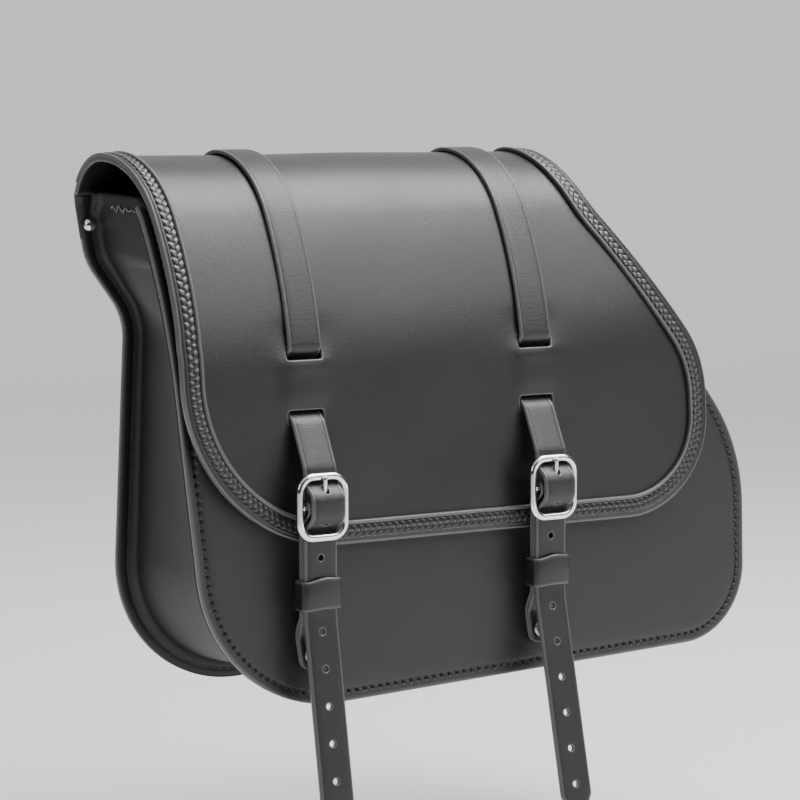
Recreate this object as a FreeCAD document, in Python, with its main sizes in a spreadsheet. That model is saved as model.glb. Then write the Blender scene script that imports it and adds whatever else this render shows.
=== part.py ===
"""Leather motorcycle saddlebag: a throw-over lid on a slanted, gusseted body, closed by two buckled straps.

Layout frame, in millimetres: X runs along the bag towards the motorcycle's tail, Y from the outer face (negative)
to the bike, Z up. X = 0 lies midway between the straps, Y = 0 on the faces of the mounting eyelets, and Z = 0 on
the bag's base line. Every piece's Placement then moves it so that the origin is the mounting bolts' centre.
"""

import FreeCAD, Part
import Sketcher
import math
import os

from FreeCAD import Placement, Rotation, Vector

DIMENSIONS = [
    # mounting
    ("mount_x", 20.0), ("mount_z", 200.0), ("bolt_pitch_x", 180.0), ("bolt_pitch_z", 90.0),
    ("eyelet_bore_r", 4.5), ("eyelet_barrel_r", 5.6), ("eyelet_flange_r", 9.0), ("eyelet_flange", 0.8),
    ("plate_length", 236.0), ("plate_height", 136.0), ("plate_corner", 14.0), ("plate_thick", 2.0),
    # leather thicknesses and gaps
    ("panel_thick", 4.0), ("gusset_thick", 3.4), ("lid_thick", 4.0), ("lid_gap", 5.5),
    ("flange_width", 13.0), ("body_top", 345.0), ("front_top", 335.0), ("depth_reach", 175.0),
    # lid
    ("hinge_z", 336.0), ("hinge_gap", 3.4), ("lid_apex", 376.0), ("lid_bottom", 115.3), ("lid_left", -184.4),
    ("lid_right", 240.0), ("lid_splay", 4.6), ("border_width", 16.0), ("border_thick", 2.0), ("bead_width", 4.0),
    ("bead_height", 3.2), ("lace_margin", 2.6), ("lace_width", 8.6), ("lace_height", 0.9),
    ("slot_upper", 245.4), ("slot_lower", 202.8), ("slot_height", 9.0), ("slot_width", 27.0),
    # straps
    ("strap_pitch", 185.0), ("strap_width", 25.0), ("strap_thick", 3.2), ("strap_gap", 0.3),
    ("hole_r", 2.5), ("hole_pitch", 25.0), ("swing_y", -150.6), ("swing_z", 194.0),
    ("tail_z", 69.0), ("tail_left_lean", 10.5), ("tail_right_lean", 14.0), ("tail_length", 158.0),
    ("tip_length", 16.0), ("first_hole", 9.0),
    # buckles
    ("buckle_y", -167.1), ("buckle_z", 144.5), ("buckle_width", 39.0), ("buckle_height", 45.0),
    ("buckle_side", 5.4), ("buckle_bar", 4.0), ("buckle_corner", 12.0), ("bar_r", 2.0), ("prong_r", 1.5),
    ("prong_lift", 6.0),
    ("billet_apex", 6.8), ("billet_y", -163.2), ("chape_thick", 2.6), ("chape_z", 46.0),
    ("keeper_top", 97.0), ("keeper_height", 23.0), ("keeper_thick", 2.2),
    # press studs and rivets
    ("stud_post_r", 2.0), ("stud_socket_r", 3.8), ("stud_cap_r", 6.0), ("stud_z", 42.0),
    ("rivet_head_r", 4.8), ("rivet_shank_r", 2.0), ("rivet_dome", 3.0), ("corner_rivet_z", 328.0),
]

doc = FreeCAD.newDocument("saddlebag")
sheet = doc.addObject("Spreadsheet::Sheet", "dimensions")
for row, (alias, number) in enumerate(DIMENSIONS, start=1):
    sheet.set(f"A{row}", alias)
    sheet.set(f"B{row}", str(number))
    sheet.setAlias(f"B{row}", alias)
doc.recompute()


def size(alias):
    """A driving dimension from the sheet."""
    return float(sheet.get(alias))


TO_MOUNT = Placement(Vector(-size("mount_x"), 0, -size("mount_z")), Rotation())
NODES = {}


def node(label, shape):
    """A sub-part whose solid comes from Part's own functions."""
    piece = doc.addObject("Part::Feature", label)
    piece.Label = label
    piece.Shape = shape.removeSplitter() if len(shape.Solids) == 1 else shape
    piece.Placement = TO_MOUNT.multiply(piece.Placement)
    NODES[label] = piece
    return piece


# ---------------------------------------------------------------- outlines as corners with rounding radii


def turn(before, corner, after):
    """How far the outline turns at a corner, in radians, positive to the left."""
    a = math.atan2(corner[1] - before[1], corner[0] - before[0])
    b = math.atan2(after[1] - corner[1], after[0] - corner[0])
    return (b - a + math.pi) % (2 * math.pi) - math.pi


def shifted(corners, distance, closed=False):
    """The corners moved to the left of the direction of travel, with their radii to match."""
    count = len(corners)
    moved = []
    for i, (u, v, r) in enumerate(corners):
        sides = []
        if closed or i > 0:
            sides.append((corners[i - 1], corners[i]))
        if closed or i < count - 1:
            sides.append((corners[i], corners[(i + 1) % count]))
        normals = []
        for start, end in sides:
            length = math.hypot(end[0] - start[0], end[1] - start[1])
            normals.append(((start[1] - end[1]) / length, (end[0] - start[0]) / length))
        nu = sum(n[0] for n in normals)
        nv = sum(n[1] for n in normals)
        scale = len(normals) / (nu * nu + nv * nv)
        bend = 0.0
        if len(sides) == 2:
            bend = turn(sides[0][0], corners[i], sides[1][1])
        radius = r - distance * math.copysign(1, bend) if r and bend else r
        moved.append((u + nu * scale * distance, v + nv * scale * distance, max(radius, 0.4) if r else 0))
    return moved


def rounded(corners, place, closed=False):
    """A wire through the corners, with an arc at each that has a radius. place turns (u, v) into a point."""
    count = len(corners)
    edges = []
    cursor = None
    first = None
    for i, (u, v, r) in enumerate(corners):
        inner = closed or 0 < i < count - 1
        start = end = (u, v)
        middle = None
        if inner and r:
            before = corners[i - 1]
            after = corners[(i + 1) % count]
            bend = turn(before, (u, v), after)
            reach = r * abs(math.tan(bend / 2))
            back = math.hypot(u - before[0], v - before[1])
            on = math.hypot(after[0] - u, after[1] - v)
            start = (u + (before[0] - u) * reach / back, v + (before[1] - v) * reach / back)
            end = (u + (after[0] - u) * reach / on, v + (after[1] - v) * reach / on)
            half = ((start[0] + end[0]) / 2 - u, (start[1] + end[1]) / 2 - v)
            depth = math.hypot(*half)
            pull = r / math.cos(bend / 2) - r
            middle = (u + half[0] * pull / depth, v + half[1] * pull / depth)
        if cursor is not None and math.dist(cursor, start) > 1e-5:
            edges.append(Part.LineSegment(place(*cursor), place(*start)).toShape())
        if middle is not None:
            edges.append(Part.Arc(place(*start), place(*middle), place(*end)).toShape())
        first = first or start
        cursor = end
    if closed and math.dist(cursor, first) > 1e-5:
        edges.append(Part.LineSegment(place(*cursor), place(*first)).toShape())
    return Part.Wire(edges)


def ribbon(corners, near, far, left, width):
    """A strip of leather: the band between two shifts of a path in the YZ plane, extruded along X from left."""

    def place(u, v):
        return Vector(left, u, v)

    one = shifted(corners, near)
    other = shifted(corners, far)
    sides = [rounded(one, place), rounded(other, place)]
    caps = [
        Part.LineSegment(place(*one[0][:2]), place(*other[0][:2])).toShape(),
        Part.LineSegment(place(*one[-1][:2]), place(*other[-1][:2])).toShape(),
    ]
    edges = sides[0].Edges + [caps[1]] + sides[1].Edges + [caps[0]]
    face = Part.Face(Part.Wire(Part.__sortEdges__(edges)))
    return face.extrude(Vector(width, 0, 0))


def prism(corners, near_y=-230.0, far_y=60.0):
    """A closed XZ outline extruded through the whole depth."""
    wire = rounded(corners, lambda u, v: Vector(u, near_y, v), closed=True)
    return Part.Face(wire).extrude(Vector(0, far_y - near_y, 0))


def block(low, high):
    """A box between two corners."""
    return Part.makeBox(high[0] - low[0], high[1] - low[1], high[2] - low[2], Vector(*low))


def turned(profile, base, axis):
    """A revolved solid: profile is (radius, distance along axis) pairs, closed on itself."""
    points = [Vector(r, 0, along) for r, along in profile]
    solid = Part.Face(Part.makePolygon(points + points[:1])).revolve(Vector(), Vector(0, 0, 1), 360)
    solid.Placement = Placement(Vector(*base), Rotation(Vector(0, 0, 1), Vector(*axis)))
    return solid


# ---------------------------------------------------------------- the driving outlines

SLOT_SLANT = 3.2  # half the height over which a strap passes through its slot
WALL = size("eyelet_flange")  # the back panel's outer face lies this far inside the eyelet faces
LID_OUTER = size("lid_thick")
FRONT_OUTER = LID_OUTER + size("lid_gap")
FRONT_INNER = FRONT_OUTER + size("panel_thick")

# the lid's outer face in the YZ plane: up the back, over the crown and down the front
LID_FACE = [
    (-WALL, size("hinge_z"), 0),
    (-WALL, size("lid_apex"), 37.5),
    (-86.1, size("lid_apex"), 81.0),
    (-139.8, 283.0, 256.0),
    (-151.5, size("lid_bottom"), 0),
    (-163.0, -50.0, 0),
]
LID_ONLY = LID_FACE[:-1]

# body outlines in the XZ plane, anticlockwise from the top left; the same corners in the same order
FRONT_OUTLINE = [
    (-191.0, 352.0, 0),
    (-189.0, 300.0, 60.0),
    (-186.0, 255.0, 60.0),
    (-165.0, 2.8, 100.0),
    (277.0, 19.8, 57.0),
    (280.5, 158.7, 130.0),
    (143.5, 352.0, 0),
]
BACK_OUTLINE = [
    (-196.0, 352.0, 0),
    (-188.0, 302.0, 45.0),
    (-159.0, 262.0, 45.0),
    (-172.0, -4.0, 90.0),
    (277.0, 12.0, 57.0),
    (280.5, 158.7, 130.0),
    (143.5, 352.0, 0),
]
LID_OUTLINE = [
    (size("lid_left") - 20, 420.0, 0),
    (size("lid_left") - 20, 300.0, 0),
    (size("lid_left"), 270.0, 90.0),
    (size("lid_left"), size("lid_bottom"), 115.0),
    (size("lid_right"), size("lid_bottom"), 72.0),
    (size("lid_right"), 227.7, 90.0),
    (162.5, 337.0, 60.0),
    (149.0, 376.0, 40.0),
    (149.0, 420.0, 0),
]


def in_lid(depth, z):
    """Y of the point at height z, depth inside the lid's outer face, on its lower front: an arc, then a line."""
    (y1, z1, radius), (y2, z2, _) = LID_FACE[3], LID_FACE[4]
    length = math.hypot(y2 - y1, z2 - z1)
    along = ((y2 - y1) / length, (z2 - z1) / length)
    reach = radius * math.tan(turn(LID_FACE[2], LID_FACE[3], LID_FACE[4]) / 2)
    centre = (y1 + along[0] * reach - along[1] * radius, z1 + along[1] * reach + along[0] * radius)
    if z > centre[1] - along[0] * (radius - depth):
        return centre[0] - math.sqrt((radius - depth) ** 2 - (z - centre[1]) ** 2)
    return y1 + along[0] / along[1] * (z - z1) - depth / along[1]


# ---------------------------------------------------------------- body: back, gusset, front


def body_shell(inset):
    """The bag's inside or outside as a solid: ruled between the back and the front outline, moved in by inset."""
    loops = []
    for outline, y in ((BACK_OUTLINE, -WALL), (FRONT_OUTLINE, -size("depth_reach"))):
        corners = shifted(outline, inset, closed=True)
        loops.append(rounded(corners, lambda u, v, y=y: Vector(u, y, v), closed=True))
    return Part.makeLoft(loops, True, True)


def under_lid(depth):
    """The bag's side in section: up the back panel, clear of the lid over the top, and down behind the front."""
    path = shifted(LID_FACE, depth)
    back = -WALL - size("panel_thick")
    hinge = size("hinge_z")
    corners = [(back, -60.0, 0), (back, hinge - 6.0, 8.0), (path[1][0], hinge + 8.0, 8.0)]
    corners += [path[1][:2] + (24.0,), path[2], path[3], (path[5][0], -60.0, 0)]
    wire = rounded(corners, lambda u, v: Vector(-260, u, v), closed=True)
    return Part.Face(wire).extrude(Vector(600, 0, 0))


def gusset_parts():
    """One piece of leather in three solids: its walls, and the sewing flanges turned outwards at back and front."""
    thick = size("gusset_thick")
    wide = size("flange_width")
    hollow = body_shell(wide + thick)
    below_top = block((-260, -230, -60), (340, 20, size("body_top")))
    below_front = block((-260, -230, -60), (340, 20, size("front_top")))
    below_hinge = block((-260, -230, -60), (340, 20, size("hinge_z") - size("hinge_gap")))
    inner_y = -WALL - size("panel_thick")
    back = prism(BACK_OUTLINE, inner_y - thick, inner_y).cut(hollow).common(below_hinge)
    for x, z in corner_rivet_centres():
        back = back.cut(Part.makeCylinder(size("rivet_shank_r"), 20, Vector(x, -15, z), Vector(0, 1, 0)))
    front = ribbon(LID_FACE, FRONT_INNER, FRONT_INNER + thick, -260, 600)
    front = front.common(prism(FRONT_OUTLINE)).cut(hollow).common(below_front)
    wall = body_shell(wide).cut(hollow).common(under_lid(FRONT_INNER)).common(below_top)
    return wall.cut([back, front]), back, front


def make_front_panel():
    """The outer face: leans out towards the base and curls in under the lid."""
    sheet_of_leather = ribbon(LID_FACE, FRONT_OUTER, FRONT_INNER, -260, 600)
    below = block((-260, -230, -60), (340, 20, size("front_top")))
    panel = sheet_of_leather.common(prism(FRONT_OUTLINE)).common(below)
    axis = stud_axis()
    inside = in_lid(FRONT_OUTER, size("stud_z")) - axis[1] * 20, size("stud_z") - axis[2] * 20
    for x in strap_centres():
        panel = panel.cut(Part.makeCylinder(size("stud_post_r"), 40, Vector(x, *inside), Vector(*axis)))
    return panel


def bolt_centres():
    return [
        (size("mount_x") + sx * size("bolt_pitch_x") / 2, size("mount_z") + sz * size("bolt_pitch_z") / 2)
        for sx in (-1, 1)
        for sz in (-1, 1)
    ]


def corner_rivet_centres():
    return [(-186.0, size("corner_rivet_z")), (152.5, size("corner_rivet_z"))]


def strap_centres():
    return [-size("strap_pitch") / 2, size("strap_pitch") / 2]


def make_back_panel():
    """A flat sheet against the bike, with the eyelets' and the corner rivets' holes."""
    far = -WALL - size("panel_thick")
    panel = prism(BACK_OUTLINE, far, -WALL)
    panel = panel.common(block((-260, -20, -60), (340, 20, size("hinge_z") - size("hinge_gap"))))
    for x, z in bolt_centres():
        panel = panel.cut(Part.makeCylinder(size("eyelet_barrel_r"), 20, Vector(x, -15, z), Vector(0, 1, 0)))
    for x, z in corner_rivet_centres():
        panel = panel.cut(Part.makeCylinder(size("rivet_shank_r"), 20, Vector(x, -15, z), Vector(0, 1, 0)))
    return panel


# ---------------------------------------------------------------- lid


def lid_sides(inset):
    """The lid's outline in front view as a prism, moved in by inset; its left end splays towards the back."""
    solid = prism(shifted(LID_OUTLINE, inset, closed=True))
    cutter = block((-600, -300, -100), (0, 300, 500))
    pivot = Vector(size("lid_left") + inset, in_lid(0, 250), 0)
    cutter.Placement = Placement(pivot, Rotation(Vector(0, 0, 1), size("lid_splay")))
    return solid.cut(cutter)


def make_lid_panel():
    """One sheet from the hinge line over the crown to the front, with the straps' four slots."""
    thick = size("lid_thick")
    roll = Vector(-260, -WALL - thick / 2, size("hinge_z"))
    panel = ribbon(LID_ONLY, 0, thick, -260, 600).fuse(Part.makeCylinder(thick / 2, 600, roll, Vector(1, 0, 0)))
    panel = panel.common(lid_sides(0))
    for x in strap_centres():
        for z in (size("slot_upper"), size("slot_lower")):
            half = size("slot_width") / 2
            tall = size("slot_height") / 2
            panel = panel.cut(block((x - half, -170, z - tall), (x + half, -120, z + tall)))
    return panel


def make_border():
    """The sewn trim along the lid's edge, with a raised bead on its inner side."""
    wide = size("border_width")
    ring = ribbon(LID_ONLY, -size("border_thick"), 0, -260, 600).common(lid_sides(0)).cut(lid_sides(wide))
    bead = ribbon(LID_ONLY, -size("bead_height"), 0, -260, 600)
    bead = bead.common(lid_sides(wide - size("bead_width"))).cut(lid_sides(wide))
    above = block((-260, -90, -60), (340, 20, size("hinge_z") + 8))
    return ring.fuse(bead).cut(above)


def make_lacing():
    """The braid's bed on the border, from its inner to its outer margin."""
    low = -size("border_thick") - size("lace_height")
    ring = ribbon(LID_ONLY, low, -size("border_thick"), -260, 600)
    ring = ring.common(lid_sides(size("lace_margin"))).cut(lid_sides(size("lace_margin") + size("lace_width")))
    return ring.cut(block((-260, -90, -60), (340, 20, size("hinge_z") + 10)))


# ---------------------------------------------------------------- straps


def upper_path():
    """The strap's centre line on the lid: from behind the crown, in by the upper slot and out by the lower."""
    outer = -size("strap_gap") - size("strap_thick") / 2
    inner = size("lid_thick") - outer
    over = shifted(LID_FACE, outer)
    upper = size("slot_upper")
    lower = size("slot_lower")
    step = SLOT_SLANT
    onto = (in_lid(outer, upper + step + 4), upper + step + 4)
    slope = (in_lid(outer, onto[1] + 0.01) - in_lid(outer, onto[1] - 0.01)) / 0.02
    fall = (over[3][0] - over[2][0]) / (over[3][1] - over[2][1])
    rise = (over[2][0] - onto[0] - fall * (over[2][1] - onto[1])) / (slope - fall)
    knee = (onto[0] + slope * rise, onto[1] + rise)
    bend = turn(over[2], knee, onto)
    radius = math.dist(knee, onto) / math.tan(bend / 2)
    return [
        (over[1][0], size("hinge_z"), 0),
        over[1],
        over[2],
        knee + (radius,),
        (onto[0] - slope * 4, upper + step, 3.5),
        (in_lid(inner, upper - step), upper - step, 3.5),
        (in_lid(inner, lower + step), lower + step, 3.5),
        (in_lid(outer, lower - step), lower - step, 3.5),
    ]


def make_upper_strap(x):
    """The part of the strap that stays on the lid; it ends just short of the swing line."""
    path = upper_path()
    last = path[-1]
    swing = (size("swing_y"), size("swing_z"))
    reach = math.dist(last[:2], swing)
    stop = size("strap_thick") / 2 + 0.5
    end = (
        swing[0] + (last[0] - swing[0]) * stop / reach,
        swing[1] + (last[1] - swing[1]) * stop / reach,
        0,
    )
    half = size("strap_thick") / 2
    strap = ribbon(path + [end], -half, half, x - size("strap_width") / 2, size("strap_width"))
    return strap.cut(block((-260, -20, 300), (340, 20, size("hinge_z") + 9)))


def billet_path():
    """Centre line of the strap's end: from the swing line under, over and under the buckle to the tail's root."""
    z = size("buckle_z")
    behind = size("billet_y")
    within = size("buckle_height") / 2 - size("buckle_bar") - 3.4
    return [
        (size("swing_y"), size("swing_z"), 0),
        (behind + 0.1, z + within + 8.4, 8.0),
        (behind, z + within, 6.0),
        (size("buckle_y") - size("billet_apex") - 3.4, z, 9.0),
        (behind, z - within, 6.0),
        (behind, size("tail_z") + size("strap_thick") / 2 + 0.4, 0),
    ]


def prong_slit(x, grow):
    """The room the prong needs in the strap, swung from its rest to its full lift."""
    rest = make_prong_pin(x, size("prong_r") + grow)
    lifted = rest.copy()
    bar = Vector(x, size("buckle_y"), size("buckle_z"))
    lifted.rotate(bar, Vector(1, 0, 0), size("prong_lift"))
    return [rest, lifted]


def holes_along(solid, x, centres):
    """Punches round holes straight through, front to back."""
    for y, z in centres:
        punch = Part.makeCylinder(size("hole_r"), 16, Vector(x, y - 8, z), Vector(0, 1, 0))
        solid = solid.cut(punch)
    return solid


def make_billet(x):
    """The strap's end in the buckle, with a rounded top at the swing line and a slit for the prong."""
    half = size("strap_thick") / 2
    path = billet_path()
    solid = ribbon(path, -half, half, x - size("strap_width") / 2, size("strap_width"))
    knuckle = Part.makeCylinder(
        half, size("strap_width"), Vector(x - size("strap_width") / 2, path[0][0], path[0][1]), Vector(1, 0, 0)
    )
    solid = solid.fuse(knuckle)
    solid = solid.cut(prong_slit(x, 0.5))
    return holes_along(solid, x, [(-163, size("buckle_z") - 33.5)])


def make_tail(x, lean):
    """The free end below the keeper, leaning outwards, with a pointed tip and a row of holes."""
    half = size("strap_thick") / 2
    width = size("strap_width")
    length = size("tail_length")
    tip = size("tip_length")
    outline = [
        Vector(-width / 2, 0, 0),
        Vector(-width / 2, 0, -length + tip),
        Vector(-width / 6, 0, -length),
        Vector(width / 6, 0, -length),
        Vector(width / 2, 0, -length + tip),
        Vector(width / 2, 0, 0),
    ]
    solid = Part.Face(Part.makePolygon(outline + outline[:1])).extrude(Vector(0, 2 * half, 0))
    solid.translate(Vector(0, -half, 0))
    solid = solid.fuse(Part.makeCylinder(half, width, Vector(-width / 2, 0, 0), Vector(1, 0, 0)))
    first = size("first_hole")
    count = int((length - tip - first) / size("hole_pitch")) + 1
    solid = holes_along(solid, 0, [(0, -first - i * size("hole_pitch")) for i in range(count)])
    solid.Placement = Placement(Vector(x, size("billet_y"), size("tail_z")), Rotation(Vector(1, 0, 0), -lean))
    return solid


def chape_faces():
    """Y of the buckle strap's outer face, its middle and its inner face, where it hangs behind the strap's end."""
    outer = size("billet_y") + size("strap_thick") / 2 + 0.2
    return outer, outer + size("chape_thick") + 0.05, outer + 2 * size("chape_thick") + 0.1


def chape_band():
    """Centre line of the two layers sewn together, from the foot on the front panel up to the buckle."""
    foot = size("chape_z")
    half = chape_faces()[1] - chape_faces()[0]
    y = in_lid(FRONT_OUTER, foot) - 0.3 - half
    lean = (in_lid(0, foot) - in_lid(0, foot - 12)) / 12
    return [
        (y - lean * 14, foot - 14, 0),
        (y, foot + 10, 10.0),
        (chape_faces()[1], size("keeper_top") - size("keeper_height") - 5, 10.0),
        (chape_faces()[1], size("buckle_z") - 26, 0),
    ]


def chape_loop():
    """Centre line of the single layer that goes up behind the centre bar, over it and down in front."""
    half = size("chape_thick") / 2
    outer, _, inner = chape_faces()
    bar_y, bar_z = size("buckle_y"), size("buckle_z")
    wrap = size("bar_r") + 0.15 + half
    return [
        (inner - half, bar_z - 27, 0),
        (inner - half, bar_z - 10, 5.0),
        (bar_y + wrap, bar_z - 3, 5.0),
        (bar_y + wrap, bar_z + wrap, wrap - 0.05),
        (bar_y - wrap, bar_z + wrap, wrap - 0.05),
        (bar_y - wrap, bar_z - 2.8, 5.0),
        (outer + half, bar_z - 12.5, 5.0),
        (outer + half, bar_z - 27, 0),
    ]


def stud_axis():
    """Square to the front panel, outwards, at the press studs."""
    drop = (in_lid(0, size("stud_z")) - in_lid(0, size("stud_z") - 10)) / 10
    length = math.hypot(1, drop)
    return (0, -1 / length, drop / length)


def make_chape(x):
    """The doubled strap that holds the buckle, slit for the prong and bored for the press stud."""
    half = size("chape_thick") / 2
    left = x - size("strap_width") / 2
    both = chape_faces()[1] - chape_faces()[0]
    solid = ribbon(chape_band(), -both, both, left, size("strap_width"))
    solid = solid.fuse(ribbon(chape_loop(), -half, half, left, size("strap_width")))
    foot = size("chape_z")
    right = left + size("strap_width")
    shape = [(left, 200.0, 0), (left, foot - 3, 0), (x - 4, foot - 14, 0), (x + 4, foot - 14, 0)]
    solid = solid.common(prism(shape + [(right, foot - 3, 0), (right, 200.0, 0)]))
    bar_z = size("buckle_z")
    solid = solid.cut(block((x - 3.2, -180, bar_z - 9), (x + 3.2, -150, bar_z + 12)))
    axis = stud_axis()
    deep = Vector(x, in_lid(FRONT_OUTER, size("stud_z")) - axis[1] * 20, size("stud_z") - axis[2] * 20)
    return solid.cut(Part.makeCylinder(size("stud_socket_r") + 0.8, 40, deep, Vector(*axis)))


def make_keeper(x):
    """The leather loop that holds the billet down on the buckle strap."""
    thick = size("keeper_thick")
    half = size("strap_width") / 2 + 0.5
    front = size("billet_y") - size("strap_thick") / 2 - 0.4
    back = chape_faces()[2] + 0.4
    hollow = [(x - half, front, 1.0), (x + half, front, 1.0), (x + half, back, 1.0), (x - half, back, 1.0)]
    low = size("keeper_top") - size("keeper_height")
    rings = []
    for corners in (hollow, shifted(hollow, -thick, closed=True)):
        rings.append(Part.Face(rounded(corners, lambda u, v: Vector(u, v, low), closed=True)))
    return rings[1].cut(rings[0]).extrude(Vector(0, 0, size("keeper_height")))


# ---------------------------------------------------------------- metal pieces, as PartDesign bodies


def origin_plane(body, role):
    return next(f for f in body.Origin.OriginFeatures if f.Role == role)


def new_body(label):
    body = doc.addObject("PartDesign::Body", label)
    body.Label = label
    NODES[label] = body
    return body


def new_sketch(body, role, name):
    sketch = body.newObject("Sketcher::SketchObject", name)
    sketch.AttachmentSupport = (origin_plane(body, role), [""])
    sketch.MapMode = "FlatFace"
    return sketch


def polygon(sketch, points):
    """A closed run of lines, joined end to end."""
    count = len(points)
    for i, (u, v) in enumerate(points):
        u2, v2 = points[(i + 1) % count]
        sketch.addGeometry(Part.LineSegment(Vector(u, v, 0), Vector(u2, v2, 0)), False)
    for i in range(count):
        sketch.addConstraint(Sketcher.Constraint("Coincident", i, 2, (i + 1) % count, 1))


def framed_rectangle(sketch, width, height):
    """A rectangle centred on the sketch's origin, with both sides bound to the sheet."""
    polygon(sketch, [(-20, -25), (20, -25), (20, 25), (-20, 25)])
    sketch.addConstraint(Sketcher.Constraint("Horizontal", 0))
    sketch.addConstraint(Sketcher.Constraint("Horizontal", 2))
    sketch.addConstraint(Sketcher.Constraint("Vertical", 1))
    sketch.addConstraint(Sketcher.Constraint("Vertical", 3))
    sketch.addConstraint(Sketcher.Constraint("Symmetric", 0, 1, 2, 1, -1, 1))
    wide = sketch.addConstraint(Sketcher.Constraint("DistanceX", 0, 1, 0, 2, 40))
    tall = sketch.addConstraint(Sketcher.Constraint("DistanceY", 1, 1, 1, 2, 50))
    sketch.setExpression(f"Constraints[{wide}]", width)
    sketch.setExpression(f"Constraints[{tall}]", height)


def upright_edges(shape, half_width, half_height):
    """Names of the edges that run front to back at the corners of a centred rectangle."""
    names = []
    for i, edge in enumerate(shape.Edges, start=1):
        near, far = edge.Vertexes[0].Point, edge.Vertexes[-1].Point
        at_corner = abs(abs(near.x) - half_width) < 0.01 and abs(abs(near.z) - half_height) < 0.01
        upright = abs(near.x - far.x) < 0.01 and abs(near.z - far.z) < 0.01 and abs(near.y - far.y) > 1
        if at_corner and upright:
            names.append(f"Edge{i}")
    return names


def rounded_corners(body, name, feature, half_width, half_height, radius):
    """Fillets the four upright corners of a centred rectangle."""
    fillet = body.newObject("PartDesign::Fillet", name)
    fillet.Base = (feature, upright_edges(feature.Shape, half_width, half_height))
    fillet.setExpression("Radius", radius)
    doc.recompute()


def make_buckle(label, x):
    """A centre-bar buckle: a frame with rounded corners outside and inside, and its bar."""
    body = new_body(label)
    half_width, half_height = size("buckle_width") / 2, size("buckle_height") / 2
    outer = new_sketch(body, "XZ_Plane", label + "_outer")
    framed_rectangle(outer, "<<dimensions>>.buckle_width", "<<dimensions>>.buckle_height")
    frame = body.newObject("PartDesign::Pad", label + "_frame")
    frame.Profile = outer
    frame.SideType = "Symmetric"
    frame.setExpression("Length", "<<dimensions>>.bar_r * 2")
    doc.recompute()
    rounded_corners(body, label + "_corners", frame, half_width, half_height, "<<dimensions>>.buckle_corner")

    inner = new_sketch(body, "XZ_Plane", label + "_inner")
    framed_rectangle(
        inner,
        "<<dimensions>>.buckle_width - 2 * <<dimensions>>.buckle_side",
        "<<dimensions>>.buckle_height - 2 * <<dimensions>>.buckle_bar",
    )
    opening = body.newObject("PartDesign::Pocket", label + "_opening")
    opening.Profile = inner
    opening.Type = "ThroughAll"
    opening.SideType = "Symmetric"
    doc.recompute()
    rounded_corners(
        body,
        label + "_inner_corners",
        opening,
        half_width - size("buckle_side"),
        half_height - size("buckle_bar"),
        "<<dimensions>>.buckle_corner - <<dimensions>>.buckle_side",
    )

    section = new_sketch(body, "YZ_Plane", label + "_bar_section")
    section.addGeometry(Part.Circle(Vector(0, 0, 0), Vector(0, 0, 1), 2), False)
    section.addConstraint(Sketcher.Constraint("Coincident", 0, 3, -1, 1))
    radius = section.addConstraint(Sketcher.Constraint("Radius", 0, 2.0))
    section.setExpression(f"Constraints[{radius}]", "<<dimensions>>.bar_r")
    bar = body.newObject("PartDesign::Pad", label + "_bar")
    bar.Profile = section
    bar.SideType = "Symmetric"
    bar.setExpression("Length", "<<dimensions>>.buckle_width - <<dimensions>>.buckle_side")
    body.Tip = bar
    body.Placement = TO_MOUNT.multiply(Placement(Vector(x, size("buckle_y"), size("buckle_z")), Rotation()))
    doc.recompute()
    return body


def make_prong_pin(x, radius):
    """The prong's pin, from the eye to a rounded end on the buckle's top bar."""
    lying = size("buckle_y") - size("bar_r") - 0.3 - size("prong_r")
    top = Vector(x, lying, size("buckle_z") + 23.2)
    root = Vector(x, size("buckle_y") - size("bar_r") - 0.9, size("buckle_z") + 0.6)
    along = top - root
    return Part.makeCylinder(radius, along.Length, root, along).fuse(Part.makeSphere(radius, top))


def make_prong(x):
    """The buckle's tongue: an eye round the centre bar and a straight pin that lies on the top bar."""
    eye_r = size("bar_r") + 0.15
    half = 2.4
    bar = Vector(x - half, size("buckle_y"), size("buckle_z"))
    eye = Part.makeCylinder(eye_r + 1.5, 2 * half, bar, Vector(1, 0, 0))
    solid = eye.fuse(make_prong_pin(x, size("prong_r")))
    return solid.cut(Part.makeCylinder(eye_r, 2 * half + 2, bar - Vector(1, 0, 0), Vector(1, 0, 0)))


def make_rivet_body(label, head_r, dome, grip, washer_r):
    """A rivet turned about its axis: domed head, shank and clenched washer. Grip is the leather's thickness."""
    body = new_body(label)
    sketch = new_sketch(body, "XZ_Plane", label + "_profile")
    shank = size("rivet_shank_r")
    sketch.addGeometry(Part.LineSegment(Vector(0, -grip - 1.0, 0), Vector(0, dome, 0)), False)
    bulge = Vector(head_r * 0.72, dome * 0.66, 0)
    sketch.addGeometry(Part.Arc(Vector(0, dome, 0), bulge, Vector(head_r, 0, 0)), False)
    steps = [(head_r, 0), (shank, 0), (shank, -grip), (washer_r, -grip), (washer_r, -grip - 1.0), (0, -grip - 1.0)]
    for (u, v), (u2, v2) in zip(steps, steps[1:]):
        sketch.addGeometry(Part.LineSegment(Vector(u, v, 0), Vector(u2, v2, 0)), False)
    spin = body.newObject("PartDesign::Revolution", label + "_turned")
    spin.Profile = sketch
    spin.ReferenceAxis = (sketch, ["V_Axis"])
    spin.Angle = 360
    doc.recompute()
    return body


def copies(body, places):
    """Separate solids of one fastener, at several places."""
    found = []
    for base, axis in places:
        solid = body.Shape.copy()
        solid.Placement = Placement(Vector(*base), Rotation(Vector(0, 0, 1), Vector(*axis)))
        found.append(solid)
    return Part.makeCompound(found)


# ---------------------------------------------------------------- the assembly


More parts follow.
